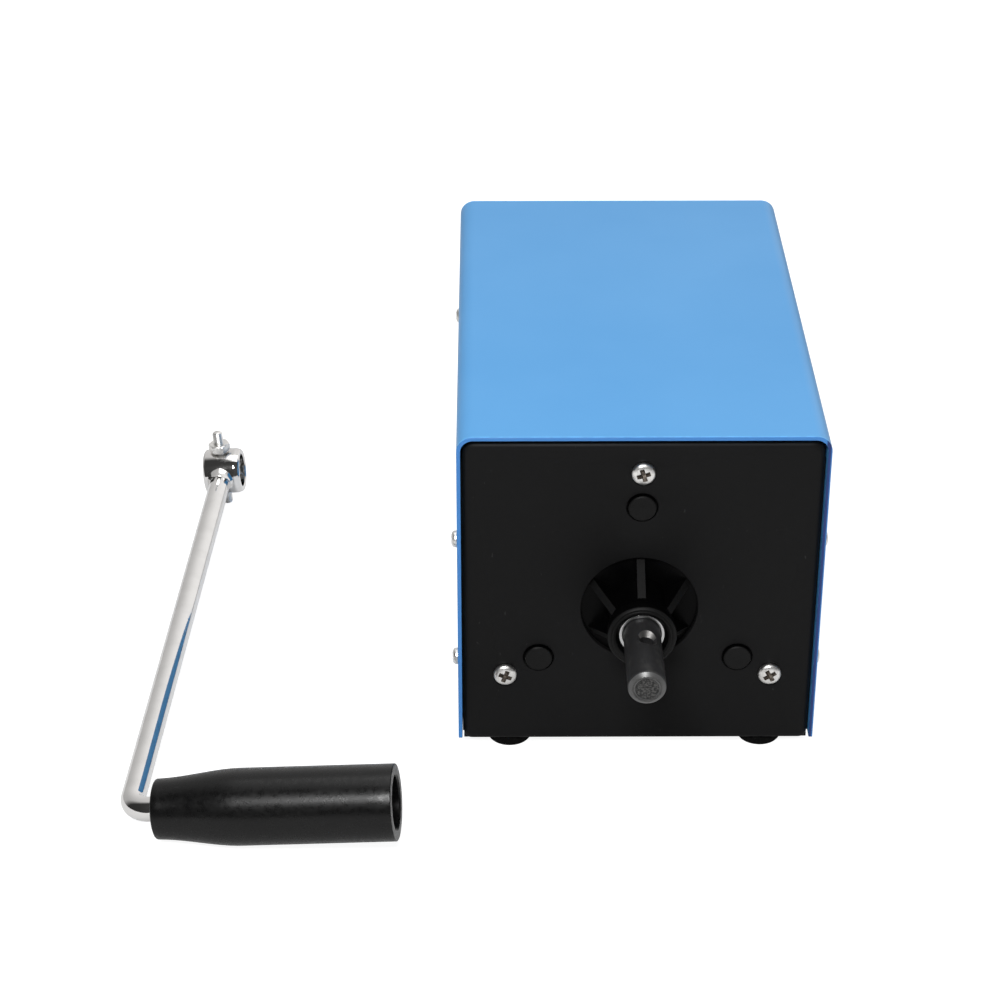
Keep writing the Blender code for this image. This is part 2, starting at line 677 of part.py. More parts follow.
def make_gearbox_bolts():
    """Long bolts through the rear cover and the ring gear into the front housing's posts."""
    seat = REAR_COVER_Y + REAR_COVER_THICKNESS + GAP
    tip = FLANGE_Y + 1.2 * MM
    profile = [(0, tip), (BOLT_RADIUS, tip), (BOLT_RADIUS, seat), (BOLT_HEAD_RADIUS, seat),
               (BOLT_HEAD_RADIUS, seat + BOLT_HEAD_HEIGHT), (0, seat + BOLT_HEAD_HEIGHT)]
    mesh = lathe("gearbox_bolt", profile, 10)
    for angle, word in zip(THIRDS, ("top", "left", "right")):
        x, z = on_circle(POST_CIRCLE, angle)
        place(f"gearbox_bolt_{word}", mesh, zinc(), (x, 0, AXIS_Z + z))


def make_input_shaft():
    """Black shaft with a chamfered, centre-drilled end and a cross hole for the crank's stud."""
    end = SHAFT_END_Y
    inner_end = INPUT_CARRIER_Y + CARRIER_THICKNESS
    profile = [(0, end + 1.2 * MM), (1.0 * MM, end + 0.4 * MM), (1.3 * MM, end),
               (SHAFT_RADIUS - SHAFT_CHAMFER, end), (SHAFT_RADIUS, end + 0.8 * MM),
               (SHAFT_RADIUS, inner_end), (0, inner_end)]
    drill = rod("drill", CROSS_HOLE_RADIUS, -10 * MM, 10 * MM, 16, "Z")
    drill.transform(Matrix.Translation((0, CROSS_HOLE_Y, 0)))
    place("crank_shaft", cut(lathe("crank_shaft", profile, 28), drill), black_oxide(), (0, 0, AXIS_Z),
          (0, SHAFT_REST_ANGLE, 0))


def carrier_mesh(name, front, bore):
    """A round plate with three pins behind it that carry the planets."""
    plate = prism(name, ring_points(CARRIER_RADIUS, 28), front, front + CARRIER_THICKNESS,
                  [ring_points(bore, 20)] if bore else ())
    pins = []
    for angle in THIRDS:
        outline = ring_points(PIN_RADIUS, 12, on_circle(PLANET_CIRCLE, angle))
        end = front + CARRIER_THICKNESS + GAP + GEAR_WIDTH
        pins.append(prism("pin", outline, front + CARRIER_THICKNESS / 2, end))
    return join(plate, *pins)


def make_planets(stage, front):
    for number, angle in enumerate(THIRDS, start=1):
        outline = outer_gear(PLANET_TEETH, planet_phase(angle))
        mesh = prism(f"{stage}_planet_{number}", outline, front, front + GEAR_WIDTH,
                     [ring_points(PIN_RADIUS + GAP, 12)])
        x, z = on_circle(PLANET_CIRCLE, angle)
        place(f"{stage}_planet_{number}", mesh, nylon(), (x, 0, AXIS_Z + z))


def make_gear_train():
    axis = (0, 0, AXIS_Z)
    place("input_carrier", carrier_mesh("input_carrier", INPUT_CARRIER_Y, SHAFT_RADIUS + GAP), steel(), axis)
    make_planets("first", FIRST_PLANET_Y)
    sun = prism("first_sun", outer_gear(SUN_TEETH, sun_phase()), FIRST_PLANET_Y, SECOND_CARRIER_Y - GAP)
    place("first_sun", sun, steel(), axis)
    place("second_carrier", carrier_mesh("second_carrier", SECOND_CARRIER_Y, 0), steel(), axis)
    make_planets("second", SECOND_PLANET_Y)


# ---------------------------------------------------------------- generator

def make_rotor():
    axis = (0, 0, AXIS_Z)
    teeth = outer_gear(SUN_TEETH, sun_phase())
    pinion = prism("rotor_shaft", teeth, SECOND_PLANET_Y, SECOND_PLANET_Y + GEAR_WIDTH)
    bar = rod("bar", ROTOR_SHAFT_RADIUS, SECOND_PLANET_Y + MM, GENERATOR_END_Y, 16)
    place("rotor_shaft", join(pinion, bar), steel(), axis)
    place("rotor_core", core_mesh(), steel(), axis)
    place("rotor_windings", windings_mesh(), copper(), axis)
    front = END_BELL_Y + MM
    end = front + COMMUTATOR_LENGTH
    step = front + COMMUTATOR_FLANGE
    bore = ROTOR_SHAFT_RADIUS + GAP
    profile = [(bore, front), (COMMUTATOR_RADIUS + MM, front), (COMMUTATOR_RADIUS + MM, step),
               (COMMUTATOR_RADIUS, step), (COMMUTATOR_RADIUS, end), (bore, end)]
    place("commutator", lathe("commutator", profile, 20, closed=True), copper(), axis)


def core_mesh():
    """Laminated core with five T-shaped poles."""
    pitch = 2 * pi / CORE_POLES
    shoe = radians(30)
    neck = radians(13)
    hub = CORE_HUB_RADIUS
    points = []
    for i in range(CORE_POLES):
        centre = i * pitch
        points.append(on_circle(hub, centre - pitch / 2))
        points.append(on_circle(hub + 1.5 * MM, centre - neck * 1.4))
        points.append(on_circle(POLE_SHOE_RADIUS, centre - neck))
        for k in range(-3, 4):
            points.append(on_circle(CORE_RADIUS, centre + shoe * k / 3))
        points.append(on_circle(POLE_SHOE_RADIUS, centre + neck))
        points.append(on_circle(hub + 1.5 * MM, centre + neck * 1.4))
    bore = ring_points(ROTOR_SHAFT_RADIUS + GAP, 14)
    return prism("rotor_core", points, CORE_Y, CORE_Y + CORE_LENGTH, [bore])


def windings_mesh():
    """Two end turns joined by the wire that fills the slots of the core."""
    front = tube("rotor_windings", WINDING_RADIUS, WINDING_BORE, CORE_Y - WINDING_OVERHANG, CORE_Y - GAP, 20)
    rear_end = CORE_Y + CORE_LENGTH
    rear = tube("end_turns", WINDING_RADIUS, WINDING_BORE, rear_end + GAP, rear_end + WINDING_OVERHANG, 20)
    fills = []
    for i in range(CORE_POLES):
        centre = (i + 0.5) * 2 * pi / CORE_POLES
        inner = 10.2 * MM
        outer = WINDING_RADIUS - 0.4 * MM
        outline = [on_circle(inner, centre - radians(10)), on_circle(outer, centre - radians(16)),
                   on_circle(outer, centre + radians(16)), on_circle(inner, centre + radians(10))]
        fills.append(prism("fill", outline, CORE_Y - MM, rear_end + MM))
    return join(front, rear, *fills)


def make_generator():
    axis = (0, 0, AXIS_Z)
    end = CAN_Y + CAN_LENGTH
    bore = MOTOR_BUSH_RADIUS + GAP
    can = [(bore, CAN_Y), (CAN_RADIUS, CAN_Y), (CAN_RADIUS, end), (CAN_RADIUS - CAN_WALL, end),
           (CAN_RADIUS - CAN_WALL, CAN_Y + CAN_WALL), (bore, CAN_Y + CAN_WALL)]
    place("generator_can", lathe("generator_can", can, 30, closed=True), steel(), axis)
    outer = CAN_RADIUS - CAN_WALL - GAP
    inner = outer - MAGNET_THICKNESS
    for word, middle in (("left", pi), ("right", 0)):
        spread = radians(65)
        arc = [middle - spread + 2 * spread * i / 8 for i in range(9)]
        outline = [on_circle(outer, angle) for angle in arc]
        outline += [on_circle(inner, angle) for angle in reversed(arc)]
        mesh = prism(f"magnet_{word}", outline, CAN_Y + 5 * MM, CAN_Y + 5 * MM + MAGNET_LENGTH)
        place(f"magnet_{word}", mesh, ferrite(), axis)
    cavity = BELL_CAVITY_RADIUS
    floor = END_BELL_Y + END_BELL_LENGTH - BELL_FLOOR
    bell = [(cavity, END_BELL_Y), (CAN_RADIUS, END_BELL_Y), (CAN_RADIUS, floor + 1.5 * MM),
            (CAN_RADIUS - 2 * MM, GENERATOR_END_Y), (bore, GENERATOR_END_Y), (bore, floor), (cavity, floor)]
    place("end_bell", lathe("end_bell", bell, 30, closed=True), black_plastic(), axis)
    rotor_bore = ROTOR_SHAFT_RADIUS + GAP
    bush = tube("front_bush", MOTOR_BUSH_RADIUS, rotor_bore, CAN_Y, CAN_Y + FRONT_BUSH_LENGTH, 20)
    place("generator_bush_front", bush, steel(), axis)
    bush = tube("rear_bush", MOTOR_BUSH_RADIUS, rotor_bore, floor + GAP, GENERATOR_END_Y, 20)
    place("generator_bush_rear", bush, steel(), axis)
    start = COMMUTATOR_RADIUS + GAP
    brush_y = END_BELL_Y + 3 * MM
    for word, side in (("left", -1), ("right", 1)):
        x0, x1 = sorted((side * start, side * (start + BRUSH_LENGTH)))
        outline = box_points(x0, x1, -BRUSH_WIDTH / 2, BRUSH_WIDTH / 2)
        mesh = prism(f"brush_{word}", outline, brush_y, brush_y + BRUSH_DEPTH)
        place(f"brush_{word}", mesh, ferrite(), axis)


# ---------------------------------------------------------------- output board

def make_output():
    front = BOARD_FRONT_Y
    back = front + BOARD_THICKNESS
    outline = box_points(-BOARD_WIDTH / 2, BOARD_WIDTH / 2, BOARD_BOTTOM_Z, BOARD_BOTTOM_Z + BOARD_HEIGHT)
    place("regulator_board", prism("regulator_board", outline, front, back), board_green())
    sheet = CHASSIS_SHEET
    floor = CHASSIS_BOTTOM + CHASSIS_SHEET + GAP
    face = front - GAP
    toe = front - BRACKET_FOOT
    angle_profile = [(face - sheet, floor + sheet), (face - sheet, BRACKET_HEIGHT), (face, BRACKET_HEIGHT),
                     (face, floor), (toe, floor), (toe, floor + sheet)]
    bracket = prism("board_bracket", angle_profile, -BRACKET_LENGTH / 2, BRACKET_LENGTH / 2, axis="X")
    place("board_bracket", bracket, zinc())
    capacitor = rod("capacitor", CAPACITOR_RADIUS, back + GAP, back + CAPACITOR_LENGTH, 20)
    place("capacitor", capacitor, black_plastic(), (CAPACITOR_CENTRE[0], 0, CAPACITOR_CENTRE[1]))
    mouth = COVER_DEPTH / 2 - PLATE_RECESS
    place("usb_socket", usb_mesh(back + GAP, mouth), zinc(), (USB_CENTRE[0], 0, USB_CENTRE[1]))
    room = mouth - SOCKET_DEPTH + MM
    barrel = [(0, back + GAP), (DC_RADIUS, back + GAP), (DC_RADIUS, mouth), (DC_BORE, mouth), (DC_BORE, room),
              (DC_PIN_RADIUS, room), (DC_PIN_RADIUS, mouth - MM), (0, mouth - MM)]
    place("dc_socket", lathe("dc_socket", barrel, 20), black_plastic(), (DC_CENTRE[0], 0, DC_CENTRE[1]))
    lamp = [(0, back + GAP), (LIGHT_RADIUS, back + GAP), (LIGHT_RADIUS, mouth),
            (0.7 * LIGHT_RADIUS, mouth + MM), (0, mouth + 1.4 * MM)]
    look = wire_skin("lamp_green", (0.1, 0.7, 0.2))
    place("power_light", lathe("power_light", lamp, 12), look, (LIGHT_CENTRE[0], 0, LIGHT_CENTRE[1]))


def usb_mesh(back, mouth):
    """A metal shell, open to the rear, with the contact tongue inside."""
    half_x, half_z = USB_SIZE[0] / 2, USB_SIZE[1] / 2
    shell = prism("usb_socket", box_points(-half_x, half_x, -half_z, half_z), back, mouth)
    room = box_points(-half_x + USB_WALL, half_x - USB_WALL, -half_z + USB_WALL, half_z - USB_WALL)
    hollow = cut(shell, prism("room", room, mouth - SOCKET_DEPTH, mouth + MM))
    tongue = prism("tongue", box_points(-half_x + 1.2 * MM, half_x - 1.2 * MM, 0.2 * MM, 1.9 * MM),
                   mouth - SOCKET_DEPTH - MM, mouth - MM)
    return join(hollow, tongue)


def smooth_path(points, steps):
    """Points along a Catmull-Rom curve through the given ones."""
    ends = [2 * points[0] - points[1], *points, 2 * points[-1] - points[-2]]
    path = []
    for a, b, c, d in zip(ends, ends[1:], ends[2:], ends[3:]):
        for i in range(steps):
            t = i / steps
            path.append(0.5 * (2 * b + (c - a) * t + (2 * a - 5 * b + 4 * c - d) * t * t
                               + (3 * b - a - 3 * c + d) * t ** 3))
    path.append(points[-1])
    return path


def make_wires():
    """Two leads from the end bell to the board."""
    start_y = GENERATOR_END_Y + GAP
    end_y = BOARD_FRONT_Y - GAP
    for name, side, colour in (("wire_red", 1, (0.55, 0.02, 0.02)), ("wire_black", -1, (0.01, 0.01, 0.01))):
        x = side * WIRE_X
        bow = side * WIRE_BOW
        high = AXIS_Z + 10 * MM
        low = AXIS_Z + 8 * MM
        top = AXIS_Z + 14 * MM
        points = [Vector((x, start_y, high)), Vector((x, start_y + 4 * MM, high)),
                  Vector((bow, (start_y + end_y) / 2, top)), Vector((x, end_y - 4 * MM, low)),
                  Vector((x, end_y, low))]
        place(name, sweep(name, smooth_path(points, 5), WIRE_RADIUS, 8), wire_skin(name, colour))


# ---------------------------------------------------------------- crank

def crank_rod_mesh():
    """One round bar: the arm, a tight bend, and the axle inside the grip."""
    weld = ARM_LENGTH - HUB_RADIUS - WELD_LENGTH
    path = [ARM_DIRECTION * weld, ARM_DIRECTION * weld / 2]
    tangent = BEND_RADIUS / tan(pi / 4 + ARM_LEAN / 2)
    turns = 7
    start = pi + ARM_LEAN
    for i in range(turns + 1):
        angle = start + i * (3 * pi / 2 - start) / turns
        path.append(Vector((tangent + BEND_RADIUS * cos(angle), BEND_RADIUS + BEND_RADIUS * sin(angle), 0)))
    path.append(Vector((ROD_END, 0, 0)))
    return sweep("crank_rod", path, ROD_RADIUS, 18)


def crank_hub_mesh():
    """Short chrome tube across the arm, with its weld bead and the two holes for the stud."""
    body = [(0, HUB_LEFT), (HUB_RADIUS - HUB_RIM, HUB_LEFT), (HUB_RADIUS, HUB_LEFT + HUB_RIM),
            (HUB_RADIUS, HUB_RIGHT - HUB_RIM), (HUB_RADIUS - HUB_RIM, HUB_RIGHT), (0, HUB_RIGHT)]
    solid = lathe("crank_hub", body, 26, "X")
    start = -HUB_RADIUS - WELD_LENGTH + GAP
    inside = -HUB_RADIUS + 2 * MM
    bead = lathe("bead", [(0, start), (WELD_RADIUS - MM, start), (WELD_RADIUS, inside - 1.4 * MM),
                          (WELD_RADIUS, inside), (0, inside)], 14, "Y")
    bore = rod("bore", HUB_BORE, 2 * HUB_LEFT, 2 * HUB_RIGHT, 24, "X")
    cross = rod("cross", STUD_RADIUS + GAP, -2 * HUB_RADIUS, 2 * HUB_RADIUS, 12, "Z")
    return cut(join(solid, bead), bore, cross)


def grip_profile():
    """Outer line of the grip from its small end: a quick swell, a long straight body and a crisp mouth."""
    points = [(GRIP_BORE, GRIP_START), (GRIP_SMALL_RADIUS - 0.6 * MM, GRIP_START),
              (GRIP_SMALL_RADIUS - 0.05 * MM, GRIP_START + 0.6 * MM)]
    swell = GRIP_SWELL_SHARE * GRIP_LENGTH
    steps = 6
    for i in range(1, steps + 1):
        t = i / steps
        blend = t * t * (3 - 2 * t)
        radius = GRIP_SMALL_RADIUS + (GRIP_LARGE_RADIUS - GRIP_SMALL_RADIUS) * blend
        points.append((radius, GRIP_START + swell * t))
    end = GRIP_START + GRIP_LENGTH
    points += [(GRIP_LARGE_RADIUS, end - 0.5 * MM), (GRIP_LARGE_RADIUS - 0.5 * MM, end),
               (GRIP_MOUTH_RADIUS, end), (GRIP_MOUTH_RADIUS, end - GRIP_MOUTH_DEPTH),
               (GRIP_BORE, end - GRIP_MOUTH_DEPTH)]
    return points


def make_crank():
    crank = empty("crank", CRANK_BEND, (CRANK_PITCH, CRANK_ROLL, CRANK_YAW))
    hub_place = ARM_DIRECTION * ARM_LENGTH
    hub_turn = (0, 0, ARM_LEAN)
    attach(place("crank_rod", crank_rod_mesh(), chrome()), crank)
    attach(place("crank_hub", crank_hub_mesh(), chrome()), crank, hub_place, hub_turn)
    chamfer = STUD_RADIUS - STUD_TIP_RADIUS
    profile = [(0, STUD_BOTTOM), (STUD_TIP_RADIUS, STUD_BOTTOM), (STUD_RADIUS, STUD_BOTTOM + chamfer),
               (STUD_RADIUS, STUD_TOP - chamfer), (STUD_TIP_RADIUS, STUD_TOP), (0, STUD_TOP)]
    attach(place("clamp_stud", lathe("clamp_stud", profile, 14, "Z"), zinc()), crank, hub_place, hub_turn)
    corner = NUT_ACROSS_FLATS / sqrt(3)
    nut = prism("lock_nut", ring_points(corner, 6), 0, NUT_HEIGHT, [ring_points(STUD_RADIUS + GAP, 14)], "Z")
    nut_place = hub_place + Vector((0, 0, HUB_RADIUS + GAP + NUT_LIFT))
    attach(place("lock_nut", nut, zinc()), crank, nut_place, hub_turn)
    attach(place("grip", lathe("grip", grip_profile(), 28, "X", closed=True), black_plastic()), crank)
    washer_x = GRIP_START + GRIP_LENGTH - GRIP_MOUTH_DEPTH + GAP
    washer = tube("grip_retainer", RETAINER_RADIUS, ROD_RADIUS + GAP, washer_x, washer_x + MM, 18, "X")
    attach(place("grip_retainer", washer, zinc()), crank)


def main():
    clear_scene()
    make_cover()
    make_chassis()
    make_feet()
    make_screws()
    make_gearbox_front()
    make_shaft_bush()
    make_ring_gear()
    make_gearbox_rear()
    make_gearbox_bolts()
    make_input_shaft()
    make_gear_train()
    make_rotor()
    make_generator()
    make_output()
    make_wires()
    make_crank()


main()
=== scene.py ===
"""Looks of the hand crank generator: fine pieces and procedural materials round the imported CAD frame."""
import json
from math import cos, pi, radians, sin, sqrt, tan

import bmesh
import bpy
from mathutils import Matrix, Vector


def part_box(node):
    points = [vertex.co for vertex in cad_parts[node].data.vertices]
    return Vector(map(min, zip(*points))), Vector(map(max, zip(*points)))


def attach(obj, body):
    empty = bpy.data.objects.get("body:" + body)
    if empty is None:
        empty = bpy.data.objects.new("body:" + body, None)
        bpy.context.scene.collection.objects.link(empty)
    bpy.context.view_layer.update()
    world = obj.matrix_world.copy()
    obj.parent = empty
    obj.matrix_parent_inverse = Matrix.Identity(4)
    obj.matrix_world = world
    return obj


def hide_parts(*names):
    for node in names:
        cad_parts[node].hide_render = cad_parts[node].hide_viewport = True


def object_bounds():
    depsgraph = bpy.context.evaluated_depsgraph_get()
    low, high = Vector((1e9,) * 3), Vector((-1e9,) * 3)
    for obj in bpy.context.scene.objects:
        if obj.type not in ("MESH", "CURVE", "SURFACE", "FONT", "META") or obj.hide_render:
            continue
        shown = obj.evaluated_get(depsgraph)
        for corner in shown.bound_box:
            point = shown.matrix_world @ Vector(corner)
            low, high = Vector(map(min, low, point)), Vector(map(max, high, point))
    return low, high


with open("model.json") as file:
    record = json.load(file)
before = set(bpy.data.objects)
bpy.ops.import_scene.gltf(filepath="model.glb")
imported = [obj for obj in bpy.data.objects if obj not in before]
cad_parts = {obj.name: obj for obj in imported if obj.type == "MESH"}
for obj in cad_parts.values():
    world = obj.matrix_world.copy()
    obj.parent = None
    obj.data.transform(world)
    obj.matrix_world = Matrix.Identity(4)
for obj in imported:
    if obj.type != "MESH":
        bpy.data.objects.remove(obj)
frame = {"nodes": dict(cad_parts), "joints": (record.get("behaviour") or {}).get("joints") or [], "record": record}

CAD_BOUNDS = [list(corner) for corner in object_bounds()]
MM = 0.001

COVER_LOW, COVER_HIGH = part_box("cover")
SHAFT_LOW, SHAFT_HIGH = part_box("crank_shaft")
CHASSIS_LOW, CHASSIS_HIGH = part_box("chassis")


def middle_of(low, high):
    """The middle of a box, at Y = 0."""
    return Vector(((low.x + high.x) / 2, 0, (low.z + high.z) / 2))


MID_X = (COVER_LOW.x + COVER_HIGH.x) / 2
MID_Y = (COVER_LOW.y + COVER_HIGH.y) / 2
AXIS = middle_of(SHAFT_LOW, SHAFT_HIGH)
THIRDS = (radians(90), radians(210), radians(330))

COVER_SHEET = 1.0 * MM
COVER_BEND = 4.0 * MM
CHASSIS_SHEET = 1.2 * MM
PLATE_BEND = 1.5 * MM
PLATE_FOOT_CORNER = 1.8 * MM
PLATE_TOP_CORNER = 3.0 * MM
RETURN_LENGTH = 14 * MM
NOSE_HOLE_RADIUS = 14.5 * MM
SCREW_HOLE_RADIUS = 1.75 * MM
POST_HOLE_RADIUS = 3.85 * MM
POST_RADIUS = 3.4 * MM
POST_STANDS_OUT = 0.8 * MM
COLLAR_RADIUS = 8.45 * MM
NECK_RADIUS = 7.6 * MM
NOSE_BORE = 5.75 * MM
FLANGE_RADIUS = 32.5 * MM
FLANGE_BORE = 6 * MM
FLANGE_THICKNESS = 4 * MM
RIB_FOOT_RADIUS = 13.9 * MM
CROSS_HOLE_RADIUS = 1.85 * MM
CROSS_HOLE_BACK = 15.8 * MM         # behind the shaft's end
SHAFT_REST_ANGLE = radians(11.5)
HUB_BORE = 4.8 * MM
STUD_RADIUS = 1.5 * MM


# ---------------------------------------------------------------- mesh helpers

def finish(bm, name, smooth_angle=35):
    bmesh.ops.remove_doubles(bm, verts=bm.verts, dist=1e-7)
    bmesh.ops.recalc_face_normals(bm, faces=bm.faces)
    mesh = bpy.data.meshes.new(name)
    bm.to_mesh(mesh)
    bm.free()
    mesh.shade_smooth()
    mesh.set_sharp_from_angle(angle=radians(smooth_angle))
    return mesh


def put(name, data):
    """A new object in the scene."""
    made = bpy.data.objects.new(name, data)
    bpy.context.scene.collection.objects.link(made)
    return made


def skin(bm, rings):
    """Faces between each ring of vertices and the next."""
    for one, two in zip(rings, rings[1:]):
        for k in range(len(one)):
            bm.faces.new((one[k - 1], one[k], two[k], two[k - 1]))


def on_circle(radius, angle, centre=(0, 0)):
    return (centre[0] + radius * cos(angle), centre[1] + radius * sin(angle))


def ring_points(radius, count, centre=(0, 0)):
    return [on_circle(radius, 2 * pi * i / count, centre) for i in range(count)]


def circle_of(node):
    """How far a node above the gearbox's axis lies from it."""
    return middle_of(*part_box(node)).z - AXIS.z


def box_points(x0, x1, z0, z1):
    return [(x0, z0), (x1, z0), (x1, z1), (x0, z1)]


def rounded_box(x0, x1, z0, z1, low, high, steps=8):
    """A rectangle whose two lower corners have the radius low and the two upper ones high."""
    corners = (((x1 - low, z0 + low), low, -pi / 2), ((x1 - high, z1 - high), high, 0),
               ((x0 + high, z1 - high), high, pi / 2), ((x0 + low, z0 + low), low, pi))
    points = []
    for centre, radius, start in corners:
        points += [on_circle(radius, start + i * pi / 2 / steps, centre) for i in range(steps + 1)]
    return points


def on_axis(axis, along, a, b):
    """The point at a distance along an axis and at (a, b) across it."""
    return {"X": (along, a, b), "Y": (a, along, b), "Z": (a, b, along)}[axis]


def prism(name, outline, low, high, holes=(), axis="Y"):
    """An outline with holes, pushed along an axis: its points leave out that axis, as (x, z) for Y."""
    bm = bmesh.new()
    caps = []
    for depth in (low, high):
        edges = []
        for loop in (outline, *holes):
            verts = [bm.verts.new(on_axis(axis, depth, *point)) for point in loop]
            edges += [bm.edges.new((verts[i - 1], verts[i])) for i in range(len(verts))]
        if holes:
            bmesh.ops.triangle_fill(bm, use_beauty=True, edges=edges)
        else:
            caps.append(verts)
    for verts in caps:
        bm.faces.new(verts)
    bm.verts.ensure_lookup_table()
    count = len(bm.verts) // 2
    first = 0
    for loop in (outline, *holes):
        size = len(loop)
        for i in range(size):
            a = first + i
            b = first + (i + 1) % size
            bm.faces.new((bm.verts[a], bm.verts[b], bm.verts[b + count], bm.verts[a + count]))
        first += size
    return finish(bm, name)


def lathe(name, profile, segments, axis="Y", closed=False, smooth_angle=35):
    """A profile of (radius, distance along the axis) turned once round it; closed profiles make rings."""
    bm = bmesh.new()
    rings = []
    for radius, along in profile:
        points = ring_points(radius, segments) if radius else [(0, 0)]
        rings.append([bm.verts.new(on_axis(axis, along, *point)) for point in points])
    pairs = list(zip(rings, rings[1:]))
    if closed:
        pairs.append((rings[-1], rings[0]))
    for one, two in pairs:
        for i in range(segments):
            j = (i + 1) % segments
            corners = [one[i % len(one)], one[j % len(one)], two[j % len(two)], two[i % len(two)]]
            bm.faces.new(list(dict.fromkeys(corners)))
    return finish(bm, name, smooth_angle)


def surface_grid(name, around, rows, at, smooth_angle=35):
    """A closed surface of rows of points round an axis, with capped ends; at(i, k) is row i's point k."""
    bm = bmesh.new()
    rings = [[bm.verts.new(at(i, k)) for k in range(around)] for i in range(rows)]
    skin(bm, rings)
    bm.faces.new(rings[0])
    bm.faces.new(rings[-1])
    return finish(bm, name, smooth_angle)


def sweep(name, path, radius_at, sides):
    """A round bar along a path of points; radius_at(i) gives the radius at each one."""
    frames = []
    side = None
    for i, point in enumerate(path):
        along = (path[min(i + 1, len(path) - 1)] - path[max(i - 1, 0)]).normalized()
        if side is None:
            side = along.orthogonal().normalized()
        side = (side - along * side.dot(along)).normalized()
        frames.append((point, side.copy(), along.cross(side)))

    def at(i, k):
        point, u, v = frames[i]
        angle = 2 * pi * k / sides
        return point + radius_at(i) * (cos(angle) * u + sin(angle) * v)

    return surface_grid(name, sides, len(path), at, 50)


def combine(base, tools, operation):
    """Join or cut a mesh with others by exact Booleans, and give back one mesh."""
    work = put("work", base)
    helpers = []
    for tool in tools:
        helper = put("tool", tool)
        helpers.append(helper)
        step = work.modifiers.new("step", "BOOLEAN")
        step.operation = operation
        step.solver = "EXACT"
        step.object = helper
    graph = bpy.context.evaluated_depsgraph_get()
    result = bpy.data.meshes.new_from_object(work.evaluated_get(graph))
    result.name = base.name
    for used in (work, *helpers):
        bpy.data.objects.remove(used, do_unlink=True)
    result.shade_smooth()
    result.set_sharp_from_angle(angle=radians(35))
    return result


def join(base, *tools):
    return combine(base, tools, "UNION")


def cut(base, *tools):
    return combine(base, tools, "DIFFERENCE")


def moved(mesh, offset):
    mesh.transform(Matrix.Translation(offset))
    return mesh


def round_corner(profile, index, radius, steps=4):
    """The profile with one corner replaced by an arc-like blend."""
    before, corner, after = (Vector(profile[index + k]) for k in (-1, 0, 1))
    start = corner + (before - corner).normalized() * radius
    end = corner + (after - corner).normalized() * radius
    arc = []
    for i in range(steps + 1):
        t = i / steps
        point = start.lerp(corner, t).lerp(corner.lerp(end, t), t)
        arc.append((point.x, point.y))
    return profile[:index] + arc + profile[index + 1:]


def rounded(profile, corners):
    """Rounds several corners of a profile, given as {index: radius}."""
    for index in sorted(corners, reverse=True):
        profile = round_corner(profile, index, corners[index])
    return profile


# ---------------------------------------------------------------- materials

def map_range(tree, value, low, high, to_low, to_high, fade):
    node = tree.nodes.new("ShaderNodeMapRange")
    node.interpolation_type = fade
    tree.links.new(value, node.inputs["Value"])
    for key, number in (("From Min", low), ("From Max", high), ("To Min", to_low), ("To Max", to_high)):
        node.inputs[key].default_value = number
    return node.outputs["Result"]


def camera_only(tree, seen, unseen, output):
    """One shader where the camera looks, and another one for every other ray."""
    mix = tree.nodes.new("ShaderNodeMixShader")
    tree.links.new(tree.nodes.new("ShaderNodeLightPath").outputs["Is Camera Ray"], mix.inputs["Fac"])
    tree.links.new(unseen.outputs[0], mix.inputs[1])
    tree.links.new(seen.outputs[0], mix.inputs[2])
    tree.links.new(mix.outputs[0], output.inputs["Surface"])


